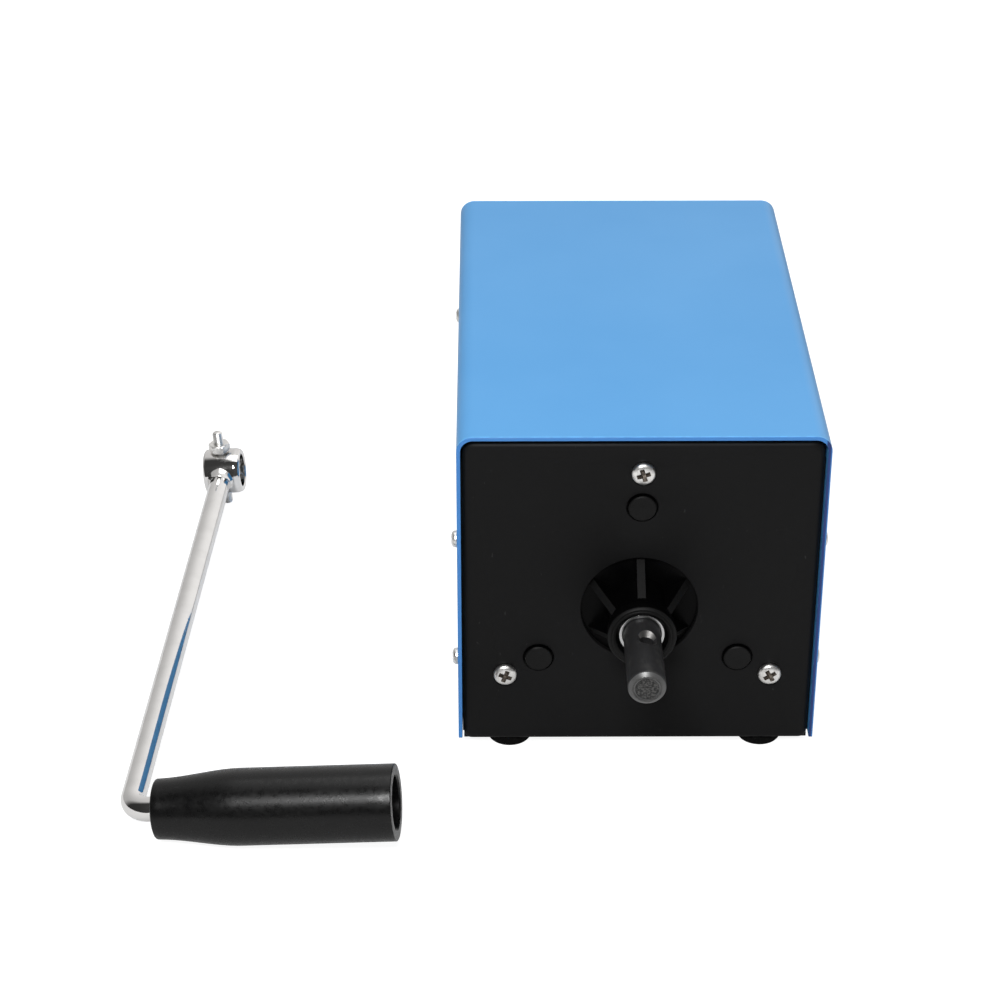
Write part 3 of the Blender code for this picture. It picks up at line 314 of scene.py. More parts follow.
class Surface:
    """A Principled material whose colour, roughness and bump come from procedural detail."""

    def __init__(self, name, colour, roughness, metallic=0.0, specular=0.5, coat=0.0):
        self.name = name
        self.made = bpy.data.materials.new(name)
        self.made.use_nodes = True
        self.tree = self.made.node_tree
        self.shader = self.tree.nodes["Principled BSDF"]
        self.colour = colour
        self.roughness = roughness
        self.shader.inputs["Base Color"].default_value = (*colour, 1)
        self.shader.inputs["Roughness"].default_value = roughness
        self.shader.inputs["Metallic"].default_value = metallic
        self.shader.inputs["Specular IOR Level"].default_value = specular
        self.shader.inputs["Coat Weight"].default_value = coat
        self.place = self.add("ShaderNodeTexCoord").outputs["Object"]
        self.colour_out = None
        self.bump_out = None

    def add(self, kind, **settings):
        node = self.tree.nodes.new(kind)
        for key, value in settings.items():
            setattr(node, key, value)
        return node

    def link(self, out, to):
        self.tree.links.new(out, to)

    def scaled(self, scale):
        """Object coordinates stretched by a factor along each axis."""
        mapping = self.add("ShaderNodeMapping")
        self.link(self.place, mapping.inputs["Vector"])
        mapping.inputs["Scale"].default_value = scale
        return mapping.outputs["Vector"]

    def vector_math(self, operation, vector, other=(0, 0, 0)):
        node = self.add("ShaderNodeVectorMath", operation=operation)
        self.link(vector, node.inputs[0])
        node.inputs[1].default_value = other
        return node.outputs

    def turned(self, centre, axis):
        """Coordinates of a turned piece: the distance from its axis, and the place along it."""
        shift = self.vector_math("SUBTRACT", self.place, centre)[0]
        flat = self.vector_math("MULTIPLY", shift, Vector((1, 1, 1)) - Vector(axis))[0]
        joined = self.add("ShaderNodeCombineXYZ")
        self.link(self.vector_math("LENGTH", flat)["Value"], joined.inputs[0])
        self.link(self.vector_math("DOT_PRODUCT", shift, axis)["Value"], joined.inputs[1])
        return joined.outputs[0]

    def noise(self, size, detail=3.0, vector=None):
        """Noise with features of a size in metres."""
        node = self.add("ShaderNodeTexNoise")
        self.link(vector or self.place, node.inputs["Vector"])
        node.inputs["Scale"].default_value = 1 / size
        node.inputs["Detail"].default_value = detail
        return node.outputs["Fac"]

    def ranged(self, value, low, high, to_low=0.0, to_high=1.0):
        return map_range(self.tree, value, low, high, to_low, to_high, "LINEAR")

    def times(self, one, two):
        node = self.add("ShaderNodeMath", operation="MULTIPLY")
        self.link(one, node.inputs[0])
        self.link(two, node.inputs[1])
        return node.outputs[0]

    def tint(self, mask, colour):
        """Blends another colour in where the mask is high."""
        mix = self.add("ShaderNodeMix", data_type="RGBA")
        self.link(mask, mix.inputs["Factor"])
        if self.colour_out:
            self.link(self.colour_out, mix.inputs["A"])
        else:
            mix.inputs["A"].default_value = (*self.colour, 1)
        mix.inputs["B"].default_value = (*colour, 1)
        self.colour_out = mix.outputs["Result"]
        self.link(self.colour_out, self.shader.inputs["Base Color"])

    def vary_roughness(self, value, low, high, spread):
        out = self.ranged(value, low, high, self.roughness - spread, self.roughness + spread)
        self.link(out, self.shader.inputs["Roughness"])

    def bump(self, value, height):
        """Adds relief of a height in metres."""
        node = self.add("ShaderNodeBump")
        self.link(value, node.inputs["Height"])
        node.inputs["Distance"].default_value = height
        if self.bump_out:
            self.link(self.bump_out, node.inputs["Normal"])
        self.bump_out = node.outputs["Normal"]
        self.link(self.bump_out, self.shader.inputs["Normal"])

    def band(self, axis, low, high, soft):
        """1 where the coordinate lies between low and high, fading over soft."""
        split = self.add("ShaderNodeSeparateXYZ")
        self.link(self.place, split.inputs[0])
        value = split.outputs[axis]
        rising = self.ranged(value, low - soft, low)
        falling = self.ranged(value, high, high + soft, 1, 0)
        return self.times(rising, falling)

    def near(self, point, radius, soft):
        """1 within radius of the point, fading over soft."""
        away = self.vector_math("DISTANCE", self.place, point)["Value"]
        return self.ranged(away, radius, radius + soft, 1, 0)


def make_blue_paint():
    """Satin powder coat: orange peel, faint clouding, paler rubbed edges that also carry a painted highlight, and
    painted shade on the front cut face, darkest on the right leg.
    """
    paint = Surface("blue_paint", (0.074, 0.325, 0.675), 0.36, specular=0.42)
    cloud = paint.noise(38 * MM)
    paint.tint(paint.ranged(cloud, 0.35, 0.7), (0.067, 0.310, 0.655))
    specks = paint.ranged(paint.noise(1.6 * MM, 2), 0.7, 0.78, 0, 0.25)
    paint.tint(specks, (0.07, 0.28, 0.62))
    # the paler rubbed edges also serve as a painted highlight along the sheet's front and back edges
    edge_wear_and_highlight = paint.ranged(paint.noise(2.5 * MM, 4), 0.4, 0.65, 0.3, 1)
    wear_and_highlight_width = 0.5 * MM
    for low, high in ((COVER_LOW.y - MM, COVER_LOW.y + wear_and_highlight_width), (COVER_HIGH.y - wear_and_highlight_width, COVER_HIGH.y + MM)):
        paint.tint(paint.times(paint.band("Y", low, high, 0.3 * MM), edge_wear_and_highlight), (0.105, 0.45, 0.86))
    # painted shade: the sheet's front cut face is darker
    cut_face_shade = paint.band("Y", COVER_LOW.y - MM, COVER_LOW.y + 0.09 * MM, 0.08 * MM)
    paint.tint(cut_face_shade, (0.048, 0.215, 0.56))
    # painted shade: the right leg's front cut face is darker still
    right_leg_shade = paint.band("X", COVER_HIGH.x - 1.3 * MM, COVER_HIGH.x - 0.45 * MM, 0.3 * MM)
    paint.tint(paint.times(cut_face_shade, right_leg_shade), (0.008, 0.03, 0.15))
    paint.vary_roughness(cloud, 0.3, 0.7, 0.03)
    paint.bump(paint.noise(0.9 * MM, 2), 0.006 * MM)
    paint.bump(paint.noise(30 * MM, 1), 0.05 * MM)
    return paint


def make_mottled(name, colour, roughness, second, clouds, mask, spread, grain, relief, **kind):
    """Clouds of a second colour, and a grain: each a (size, detail) of noise. mask is the clouds' range."""
    surface = Surface(name, colour, roughness, **kind)
    cloud = surface.noise(*clouds)
    surface.tint(surface.ranged(cloud, *mask), second)
    surface.vary_roughness(cloud, 0.3, 0.7, spread)
    surface.bump(surface.noise(*grain), relief)
    return surface


def make_black_paint():
    """Matt black powder coat with a fine grain and a few pale scuffs."""
    paint = make_mottled("black_paint", (0.0052, 0.0052, 0.0054), 0.52, (0.0066, 0.0066, 0.0068),
                         (25 * MM, 3), (0.4, 0.75, 0, 0.7), 0.06, (0.35 * MM, 2), 0.012 * MM, specular=0.12)
    scuffs = paint.ranged(paint.noise(1.1 * MM, 3, paint.scaled((1, 1, 0.4))), 0.735, 0.77, 0, 0.6)
    paint.tint(scuffs, (0.03, 0.03, 0.03))
    return paint


def make_black_plastic(name, shade, specular, grain):
    """Moulded black plastic with a fine spark-eroded texture and slight flow clouding."""
    return make_mottled(name, (shade,) * 3, 0.5, (1.5 * shade,) * 3, (9 * MM, 3), (0.4, 0.7, 0, 0.8), 0.05,
                        (grain, 2), 0.01 * MM, specular=specular)


def make_shaded_plastic():
    """The gearbox's black nylon: smoother, with flow marks and a little dust, and made blacker as painted shade
    for the nose sunk in the plate's hole.
    """
    plastic = make_mottled("shaded_plastic", (0.0010, 0.0010, 0.0011), 0.34, (0.0018, 0.0018, 0.0018),
                           (5 * MM, 3), (0.45, 0.7, 0, 0.7), 0.06, (0.4 * MM, 2), 0.008 * MM, specular=0.06)
    dust = plastic.ranged(plastic.noise(0.7 * MM, 3), 0.68, 0.76, 0, 0.3)
    plastic.tint(dust, (0.012, 0.012, 0.011))
    return plastic


def make_grip_plastic():
    """Semi-gloss black plastic with a pebbled skin and a few fine scratches along the grip."""
    plastic = Surface("grip_plastic", (0.0035, 0.0035, 0.0036), 0.30, specular=0.26)
    cloud = plastic.noise(7 * MM)
    plastic.tint(plastic.ranged(cloud, 0.35, 0.7, 0, 0.8), (0.0050, 0.0050, 0.0050))
    scratches = plastic.ranged(plastic.noise(0.5 * MM, 3, plastic.scaled((0.06, 1, 1))), 0.68, 0.74, 0, 0.5)
    plastic.tint(scratches, (0.02, 0.02, 0.02))
    plastic.vary_roughness(plastic.noise(1.4 * MM, 4), 0.3, 0.7, 0.07)
    plastic.bump(plastic.noise(0.45 * MM, 2), 0.014 * MM)
    return plastic


def make_rubber():
    """Dull black rubber with dust in its pores."""
    rubber = Surface("rubber", (0.0015, 0.0015, 0.0015), 0.75, specular=0.08)
    dust = rubber.ranged(rubber.noise(0.6 * MM, 4), 0.56, 0.72, 0, 0.35)
    rubber.tint(dust, (0.010, 0.010, 0.009))
    rubber.vary_roughness(rubber.noise(3 * MM), 0.3, 0.7, 0.06)
    rubber.bump(rubber.noise(0.3 * MM, 3), 0.02 * MM)
    return rubber


def make_chrome():
    """Polished chrome with faint polishing lines and a little haze."""
    chrome = Surface("chrome", (0.80, 0.79, 0.78), 0.07, 1.0)
    haze = chrome.noise(6 * MM, 4)
    chrome.tint(chrome.ranged(haze, 0.45, 0.75, 0, 0.6), (0.70, 0.69, 0.68))
    chrome.vary_roughness(haze, 0.3, 0.7, 0.025)
    chrome.bump(chrome.noise(0.35 * MM, 3, chrome.scaled((1, 0.03, 1))), 0.0012 * MM)
    chrome.bump(chrome.noise(2.2 * MM, 2), 0.015 * MM)
    return chrome


def make_black_oxide():
    """Blackened turned steel: fine tool rings, pale patches, a bright chamfer and a mottled end."""
    steel = Surface("black_oxide", (0.022, 0.022, 0.023), 0.40, 0.35, specular=0.5)
    turned = steel.turned(AXIS, (0, 1, 0))
    rings = steel.noise(0.22 * MM, 3, turned)
    steel.tint(steel.ranged(rings, 0.45, 0.7, 0, 0.8), (0.035, 0.035, 0.036))
    patches = steel.ranged(steel.noise(3.5 * MM, 4), 0.55, 0.7, 0, 0.7)
    steel.tint(patches, (0.05, 0.049, 0.047))
    chamfer = steel.band("Y", SHAFT_LOW.y + 0.07 * MM, SHAFT_LOW.y + 0.72 * MM, 0.1 * MM)
    steel.tint(chamfer, (0.10, 0.10, 0.10))
    steel.tint(steel.near((AXIS.x, SHAFT_LOW.y, AXIS.z), 2.85 * MM, 0.05 * MM), (0.012, 0.012, 0.012))
    end_grain = steel.band("Y", SHAFT_LOW.y - MM, SHAFT_LOW.y + 0.21 * MM, 0.02 * MM)
    chatter = steel.ranged(steel.noise(0.55 * MM, 4), 0.44, 0.6)
    steel.tint(steel.times(end_grain, chatter), (0.075, 0.074, 0.072))
    steel.vary_roughness(rings, 0.3, 0.7, 0.08)
    steel.bump(rings, 0.006 * MM)
    return steel


def make_steel(name="steel", colour=(0.6, 0.6, 0.6), roughness=0.26):
    """Machined steel with fine tool lines round the axis."""
    steel = Surface(name, colour, roughness, 1.0)
    turned = steel.turned(AXIS, (0, 1, 0))
    rings = steel.noise(0.15 * MM, 3, turned)
    darker = tuple(0.72 * channel for channel in colour)
    steel.tint(steel.ranged(rings, 0.42, 0.7), darker)
    steel.vary_roughness(rings, 0.3, 0.7, 0.07)
    steel.bump(rings, 0.003 * MM)
    return steel


def make_copper():
    """Enamelled copper wire laid in turns."""
    copper = Surface("copper", (0.6, 0.24, 0.09), 0.3, 1.0)
    turns = copper.noise(0.35 * MM, 2, copper.scaled((1, 0.15, 1)))
    copper.tint(copper.ranged(turns, 0.4, 0.65), (0.32, 0.11, 0.04))
    copper.vary_roughness(turns, 0.3, 0.7, 0.08)
    copper.bump(turns, 0.08 * MM)
    return copper


def make_board():
    """Green solder mask with lighter copper areas under it."""
    board = Surface("board_green", (0.012, 0.1, 0.035), 0.32, specular=0.5)
    tracks = board.ranged(board.noise(2.2 * MM, 1, board.scaled((1, 1, 0.25))), 0.5, 0.52)
    board.tint(tracks, (0.03, 0.19, 0.07))
    board.vary_roughness(board.noise(4 * MM), 0.3, 0.7, 0.05)
    board.bump(tracks, 0.03 * MM)
    return board


def make_insulation(name, colour):
    """The wires' plastic skin, a little grimy."""
    grimy = tuple(0.6 * channel for channel in colour)
    return make_mottled(name, colour, 0.45, grimy, (1.5 * MM, 3), (0.5, 0.75, 0, 0.6), 0.06,
                        (0.4 * MM, 3), 0.008 * MM, specular=0.4)


LOOKS = {surface.name: surface.made for surface in (
    make_blue_paint(),
    make_black_paint(),
    make_black_plastic("black_plastic", 0.0065, 0.2, 0.25 * MM),
    make_shaded_plastic(),
    # a paler copy of the nose's plastic: painted highlight for the nose's faces that catch the light
    make_black_plastic("highlit_plastic", 0.0042, 0.15, 0.35 * MM),
    make_grip_plastic(),
    make_rubber(),
    make_mottled("zinc", (0.86, 0.85, 0.83), 0.36, (0.66, 0.65, 0.63), (1.2 * MM, 4), (0.5, 0.75),
                 0.08, (0.25 * MM, 2), 0.004 * MM, metallic=1.0),
    make_chrome(),
    make_black_oxide(),
    make_steel(),
    # paler steel: painted highlight on the countersink faces that face the front
    make_steel("countersink_highlight", (0.20, 0.196, 0.19), 0.42),
    make_mottled("nylon", (0.72, 0.69, 0.6), 0.45, (0.62, 0.59, 0.5), (2.5 * MM, 3), (0.4, 0.7),
                 0.06, (0.2 * MM, 3), 0.006 * MM),
    make_copper(),
    make_mottled("ferrite", (0.035, 0.035, 0.037), 0.7, (0.07, 0.07, 0.072), (0.4 * MM, 4),
                 (0.5, 0.7), 0.08, (0.4 * MM, 4), 0.02 * MM, specular=0.3),
    make_board(),
    make_insulation("wire_red", (0.45, 0.015, 0.012)),
    make_insulation("wire_black", (0.012, 0.012, 0.012)),
    make_mottled("lamp_green", (0.08, 0.5, 0.12), 0.15, (0.12, 0.62, 0.2), (0.8 * MM, 3),
                 (0.4, 0.7), 0.05, (0.8 * MM, 3), 0.01 * MM, specular=0.6, coat=0.5),
    # dark brownish metal: painted shade for the walls and floor of the screws' cross recesses
    make_mottled("recess_shade", (0.09, 0.075, 0.062), 0.45, (0.22, 0.19, 0.16), (0.5 * MM, 3),
                 (0.45, 0.7), 0.1, (0.5 * MM, 3), 0.02 * MM, metallic=0.6),
)}


def dress_cad_nodes():
    """Every CAD node that stays visible gets the procedural material of its slot."""
    for part in frame["record"]["subparts"]:
        mesh = frame["nodes"][part["node"]].data
        mesh.materials.clear()
        mesh.materials.append(LOOKS[part["material_slot"]])


def show(name, mesh, slot, body, *nodes, bevel=0.0, inside=None):
    """Puts a finished piece in the scene in place of its CAD nodes; inside is its second material."""
    kept = [face.material_index for face in mesh.polygons]
    mesh.materials.clear()
    mesh.materials.append(LOOKS[slot])
    if inside:
        mesh.materials.append(LOOKS[inside])
        mesh.polygons.foreach_set("material_index", kept)
    piece = put(name, mesh)
    if bevel:
        edge = piece.modifiers.new("edges", "BEVEL")
        edge.width = bevel
        edge.segments = 2
        edge.limit_method = "ANGLE"
        edge.angle_limit = radians(40)
        edge.harden_normals = True
    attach(piece, body)
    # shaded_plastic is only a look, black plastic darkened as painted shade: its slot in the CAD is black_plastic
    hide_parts(*nodes)
    return piece


# ---------------------------------------------------------------- box

def make_cover():
    """The folded blue sheet, with its two long bends and lightly rounded edges."""
    half = (COVER_HIGH.x - COVER_LOW.x) / 2

    def arch(inset):
        bend = COVER_BEND - inset
        top = COVER_HIGH.z - inset
        points = [(MID_X - half + inset, COVER_LOW.z)]
        for side, start in ((-1, pi), (1, pi / 2)):
            centre_x = MID_X + side * (half - inset - bend)
            points += [on_circle(bend, start - i * pi / 24, (centre_x, top - bend)) for i in range(13)]
        points.append((MID_X + half - inset, COVER_LOW.z))
        return points

    mesh = prism("cover_sheet", arch(0) + arch(COVER_SHEET)[::-1], COVER_LOW.y, COVER_HIGH.y)
    show("cover_sheet", mesh, "blue_paint", "housing", "cover", bevel=0.16 * MM)


def bent_plate(name, low, high, holes):
    """The front plate: flat with holes, its edges curving back into the bends of the tray."""
    bend = PLATE_BEND
    steps = 8
    bm = bmesh.new()
    outlines = []
    for i in range(steps + 1):
        angle = i / steps * pi / 2
        inset = bend * (1 - sin(angle))
        points = rounded_box(low.x + inset, high.x - inset, low.z + inset, high.z - inset,
                             PLATE_FOOT_CORNER, PLATE_TOP_CORNER)
        y = low.y + bend * (1 - cos(angle))
        outlines.append([bm.verts.new((x, y, z)) for x, z in points])
    back = low.y + bend + 0.2 * MM
    outlines.append([bm.verts.new((vert.co.x, back, vert.co.z)) for vert in outlines[-1]])
    walls = []
    soft = 0.15 * MM
    for hole in holes:
        middle = Vector((sum(x for x, z in hole) / len(hole), sum(z for x, z in hole) / len(hole)))
        rings = []
        for widen, y in ((soft, low.y), (0.3 * soft, low.y + 0.3 * soft), (0, low.y + soft), (0, back)):
            ring = []
            for x, z in hole:
                out = (Vector((x, z)) - middle).normalized() * widen
                ring.append(bm.verts.new((x + out.x, y, z + out.y)))
            rings.append(ring)
        walls.append(rings)
    for rows in (outlines, *walls):
        skin(bm, rows)
    for pick in (0, -1):
        edges = []
        for loop in (outlines[pick], *(rings[pick] for rings in walls)):
            edges += [bm.edges.get((loop[k - 1], loop[k])) for k in range(len(loop))]
        bmesh.ops.triangle_fill(bm, use_beauty=True, edges=edges)
    return finish(bm, name, 50)


def make_chassis():
    """The black tray: front plate, rear plate, floor, side returns and lips."""
    low, high = CHASSIS_LOW, CHASSIS_HIGH
    sheet = CHASSIS_SHEET
    outline = rounded_box(low.x, high.x, low.z, high.z, PLATE_FOOT_CORNER, PLATE_TOP_CORNER)
    centre = (AXIS.x, AXIS.z)
    holes = [ring_points(NOSE_HOLE_RADIUS, 96, centre)]
    for node, radius, count in (("plate_screw_top", SCREW_HOLE_RADIUS, 24),
                                ("gearbox_bolt_top", POST_HOLE_RADIUS, 48)):
        circle = circle_of(node)
        holes += [ring_points(radius, count, on_circle(circle, angle, centre)) for angle in THIRDS]
    show("front_plate", bent_plate("front_plate", low, high, holes), "black_paint", "housing", "chassis")
    clear = 0.3 * MM
    usb_low, usb_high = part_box("usb_socket")
    round_holes = []
    for node in ("dc_socket", "power_light"):
        a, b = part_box(node)
        round_holes.append(ring_points((b.x - a.x) / 2 + clear, 40, middle_of(a, b).xz))
    usb_hole = box_points(usb_low.x - clear, usb_high.x + clear, usb_low.z - clear, usb_high.z + clear)
    rear = prism("rear_plate", outline, high.y - sheet, high.y, [usb_hole, *round_holes])
    show("rear_plate", rear, "black_paint", "housing", bevel=0.15 * MM)
    floor_outline = box_points(low.x, high.x, low.y + sheet, high.y - sheet)
    floor = prism("tray_floor", floor_outline, low.z, low.z + sheet, axis="Z")
    show("tray_floor", floor, "black_paint", "housing", bevel=0.1 * MM)
    foot = low.z + 1.6 * MM
    head = high.z - 5.5 * MM
    gap = RETURN_LENGTH + 0.2 * MM
    walls = (("front_return", box_points(low.y + 1.8 * MM, low.y + RETURN_LENGTH, foot, head)),
             ("rear_return", box_points(high.y - RETURN_LENGTH, high.y - sheet, foot, head)),
             ("side_lip", box_points(low.y + gap, high.y - gap, foot, low.z + 10 * MM)))
    left = COVER_LOW.x + 1.08 * MM
    right = COVER_HIGH.x - 1.08 * MM
    for word, x0, x1 in (("left", left, left + sheet), ("right", right - sheet, right)):
        for kind, wall in walls:
            name = f"{kind}_{word}"
            show(name, prism(name, wall, x0, x1, axis="X"), "black_paint", "housing", bevel=0.1 * MM)


def make_feet():
    """Round rubber pads with soft edges."""
    for depth in ("front", "rear"):
        for side in ("left", "right"):
            node = f"foot_{depth}_{side}"
            low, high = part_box(node)
            x = (low.x + high.x) / 2
            y = (low.y + high.y) / 2
            top = CHASSIS_LOW.z
            radius = (high.x - low.x) / 2
            profile = [(0, low.z), (radius - 0.5 * MM, low.z), (radius - 0.1 * MM, low.z + 0.5 * MM),
                       (radius, top - 0.9 * MM), (radius - 0.25 * MM, top - 0.05 * MM),
                       (0, top - 0.05 * MM)]
            mesh = moved(lathe(node, rounded(profile, {1: 0.3 * MM, 3: 0.3 * MM}), 64, "Z"), (x, y, 0))
            show(f"{node}_pad", mesh, "rubber", "housing", node)


def screw_mesh(radius, tall):
    """A pan head with a domed top and a tapered cross recess; its seat is at Z = 0."""
    rim = 0.35 * tall
    profile = [(0, -0.4 * MM), (0.5 * radius, -0.4 * MM), (0.5 * radius, 0), (radius - 0.15 * MM, 0),
               (radius, 0.15 * MM), (radius, rim)]
    steps = 8
    for i in range(1, steps):
        angle = i / steps * pi / 2
        profile.append((radius * cos(angle) ** 0.6, rim + (tall - rim) * sin(angle)))
    profile.append((0, tall))
    body = lathe("screw", profile, 48, "Z")
    cutters = []
    for turn in (0, pi / 2):
        bm = bmesh.new()
        rows = []
        for arm, half, z in ((0.18, 0.1, 0.2), (0.56, 0.19, 0.85), (0.66, 0.21, 1.3)):
            corners = box_points(-arm * radius, arm * radius, -half * radius, half * radius)
            rows.append([bm.verts.new((x, y, z * tall)) for x, y in corners])
        skin(bm, rows)
        bm.faces.new(rows[0])
        bm.faces.new(rows[-1])
        blade = finish(bm, "blade")
        blade.transform(Matrix.Rotation(turn, 4, "Z"))
        cutters.append(blade)
    return cut(body, *cutters)


def darken_recess(mesh, radius, tall):
    """Paints shade: gives the walls and floor of the cross recess the second, darker material."""
    for face in mesh.polygons:
        centre = face.center
        across = sqrt(centre.x ** 2 + centre.y ** 2)
        steep = face.normal.z < 0.55
        sunk = centre.z < 0.75 * tall
        if 0 < centre.z and across < 0.68 * radius and (steep or sunk):
            face.material_index = 1


def make_screws():
    """Each screw head is turned a little differently, as screws are."""
    kinds = {}
    for kind, node in (("plate", "plate_screw_top"), ("cover", "cover_screw_left_front_low")):
        low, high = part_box(node)
        radius = (high.z - low.z) / 2
        tall = CHASSIS_LOW.y - low.y if kind == "plate" else COVER_LOW.x - low.x
        kinds[kind] = screw_mesh(radius, tall)
        darken_recess(kinds[kind], radius, tall)
    names = [f"plate_screw_{word}" for word in ("top", "left", "right")]
    names += [f"cover_screw_{side}_{depth}_{level}" for side in ("left", "right")
              for depth in ("front", "rear") for level in ("low", "high")]
    for number, node in enumerate(names):
        low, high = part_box(node)
        middle = (low + high) / 2
        mesh = kinds[node.split("_")[0]].copy()
        mesh.transform(Matrix.Rotation(0.3 + 0.9 * number, 4, "Z"))
        if node.startswith("plate"):
            mesh.transform(Matrix.Rotation(pi / 2, 4, "X"))
            seat = Vector((middle.x, CHASSIS_LOW.y, middle.z))
        elif "left" in node:
            mesh.transform(Matrix.Rotation(-pi / 2, 4, "Y"))
            seat = Vector((COVER_LOW.x, middle.y, middle.z))
        else:
            mesh.transform(Matrix.Rotation(pi / 2, 4, "Y"))
            seat = Vector((COVER_HIGH.x, middle.y, middle.z))
        show(f"{node}_head", moved(mesh, seat), "zinc", "housing", node, inside="recess_shade")


# ---------------------------------------------------------------- nose and shaft

def paint_highlit_faces(mesh, collar_back, tip, flange):
    """Paints highlight: gives the collar's face, the posts' tips and the ribs' sloping backs the paler second
    material, a lighter copy of the nose's plastic.
    """
    past_ribs = 20 * MM
    for face in mesh.polygons:
        centre = face.center
        slope = centre.y > tip - 0.5 * MM and -0.95 < face.normal.y < -0.3
        front = centre.y < collar_back
        outside = centre.x ** 2 + centre.z ** 2 > past_ribs ** 2
        post = face.normal.y < -0.5 and centre.y < flange - MM and outside
        if front or slope or post:
            face.material_index = 1


def make_nose():
    """Gearbox front: flange, three posts with dimpled tips, and the ribbed nose with its collar."""
    flange = CHASSIS_LOW.y + 1.5 * MM
    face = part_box("gearbox_front")[0].y
    collar = COLLAR_RADIUS
    neck = NECK_RADIUS
    profile = [(NOSE_BORE, flange + MM), (NOSE_BORE, face + 1.35 * MM), (6.5 * MM, face + 0.3 * MM),
               (6.85 * MM, face + 0.12 * MM), (7.0 * MM, face), (7.35 * MM, face),
               (7.45 * MM, face + 0.1 * MM), (7.6 * MM, face), (collar - 0.45 * MM, face),
               (collar, face + 0.45 * MM), (collar, face + 3.4 * MM), (neck, face + 3.8 * MM),
               (neck, flange + MM)]
    profile = rounded(profile, {2: 0.12 * MM, 9: 0.25 * MM, 10: 0.25 * MM})
    body = lathe("nose", profile, 96, closed=True)
    back = flange + FLANGE_THICKNESS
    disc = [(FLANGE_BORE, flange), (FLANGE_RADIUS, flange), (FLANGE_RADIUS, back), (FLANGE_BORE, back)]
    parts = [lathe("flange", disc, 96, closed=True)]
    tip = face + 5.7 * MM
    slope = [(flange + MM, neck - MM), (flange + MM, RIB_FOOT_RADIUS), (flange, RIB_FOOT_RADIUS),
             (tip, neck + 0.2 * MM), (tip, neck - MM)]
    for i in range(6):
        rib = prism("rib", slope, -MM, MM, axis="X")
        rib.transform(Matrix.Rotation(i * pi / 3, 4, "Y"))
        parts.append(rib)
    circle = circle_of("gearbox_bolt_top")
    front = CHASSIS_LOW.y - POST_STANDS_OUT
    soft = 0.25 * MM
    post = [(0, front + 0.12 * MM), (0.8 * MM, front + 0.12 * MM), (1.2 * MM, front),
            (POST_RADIUS - soft, front), (POST_RADIUS, front + soft), (POST_RADIUS, flange + MM),
            (0, flange + MM)]
    for angle in THIRDS:
        x, z = on_circle(circle, angle)
        parts.append(moved(lathe("post", post, 48), (x, 0, z)))
    mesh = join(body, *parts)
    # painted light on the nose: its main plastic is darkened as painted shade, and the faces that catch the light
    # get the paler copy as a painted highlight
    paint_highlit_faces(mesh, face + 0.8 * MM, tip, flange)
    show("gearbox_nose", moved(mesh, (AXIS.x, 0, AXIS.z)), "shaded_plastic", "housing", "gearbox_front",
         inside="highlit_plastic")


def make_bush():
    """The silver ring round the shaft."""
    low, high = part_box("shaft_bush")
    outer = (high.x - low.x) / 2
    inner = 4.8 * MM        # 0.2 mm clear of the shaft all round
    profile = [(outer, high.y), (outer, low.y), (inner, low.y), (inner, high.y)]
    profile = rounded(profile, {1: 0.1 * MM, 2: 0.1 * MM})
    mesh = moved(lathe("bush", profile, 96, closed=True), (AXIS.x, 0, AXIS.z))
    show("nose_bush", mesh, "steel", "housing", "shaft_bush")


def make_shaft():
    """The black shaft: chamfered end with a shallow dish, and a countersunk cross hole."""
    end = SHAFT_LOW.y
    radius = (SHAFT_HIGH.x - SHAFT_LOW.x) / 2
    profile = [(0, end + 0.2 * MM), (2.5 * MM, end + 0.16 * MM), (2.75 * MM, end + 0.2 * MM),
               (2.9 * MM, end + 0.3 * MM), (3.15 * MM, end + 0.3 * MM), (3.25 * MM, end), (3.5 * MM, end),
               (radius, end + 0.9 * MM), (radius, SHAFT_HIGH.y), (0, SHAFT_HIGH.y)]
    bar = lathe("shaft", rounded(profile, {7: 0.25 * MM}), 96, smooth_angle=28)
    hole = CROSS_HOLE_RADIUS
    middle = end + CROSS_HOLE_BACK
    long = 12 * MM
    drill = lathe("drill", [(0, -long), (hole, -long), (hole, long), (0, long)], 40, "Z")
    sinks = []
    for side in (-1, 1):
        depth = side * (radius - 1.25 * MM)
        far = side * (radius + 1.2 * MM)
        wide = hole + 2.45 * MM
        sinks.append(lathe("sink", [(0, depth), (hole, depth), (wide, far), (0, far)], 40, "Z"))
    cutters = [moved(tool, (0, middle, 0)) for tool in (drill, *sinks)]
    mesh = cut(bar, *cutters)
    # painted highlight: the countersink faces on the far side, facing the front, get the paler steel
    for face in mesh.polygons:
        sunk = sqrt(face.center.x ** 2 + face.center.z ** 2) < radius - 0.02 * MM
        if sunk and face.center.y > middle and face.normal.y < -0.3 and abs(face.normal.z) > 0.3:
            face.material_index = 1
    mesh.transform(Matrix.Rotation(SHAFT_REST_ANGLE, 4, "Y"))
    show("turned_shaft", moved(mesh, (AXIS.x, 0, AXIS.z)), "black_oxide", "crank_shaft", "crank_shaft",
         inside="countersink_highlight")


# ---------------------------------------------------------------- rear sockets

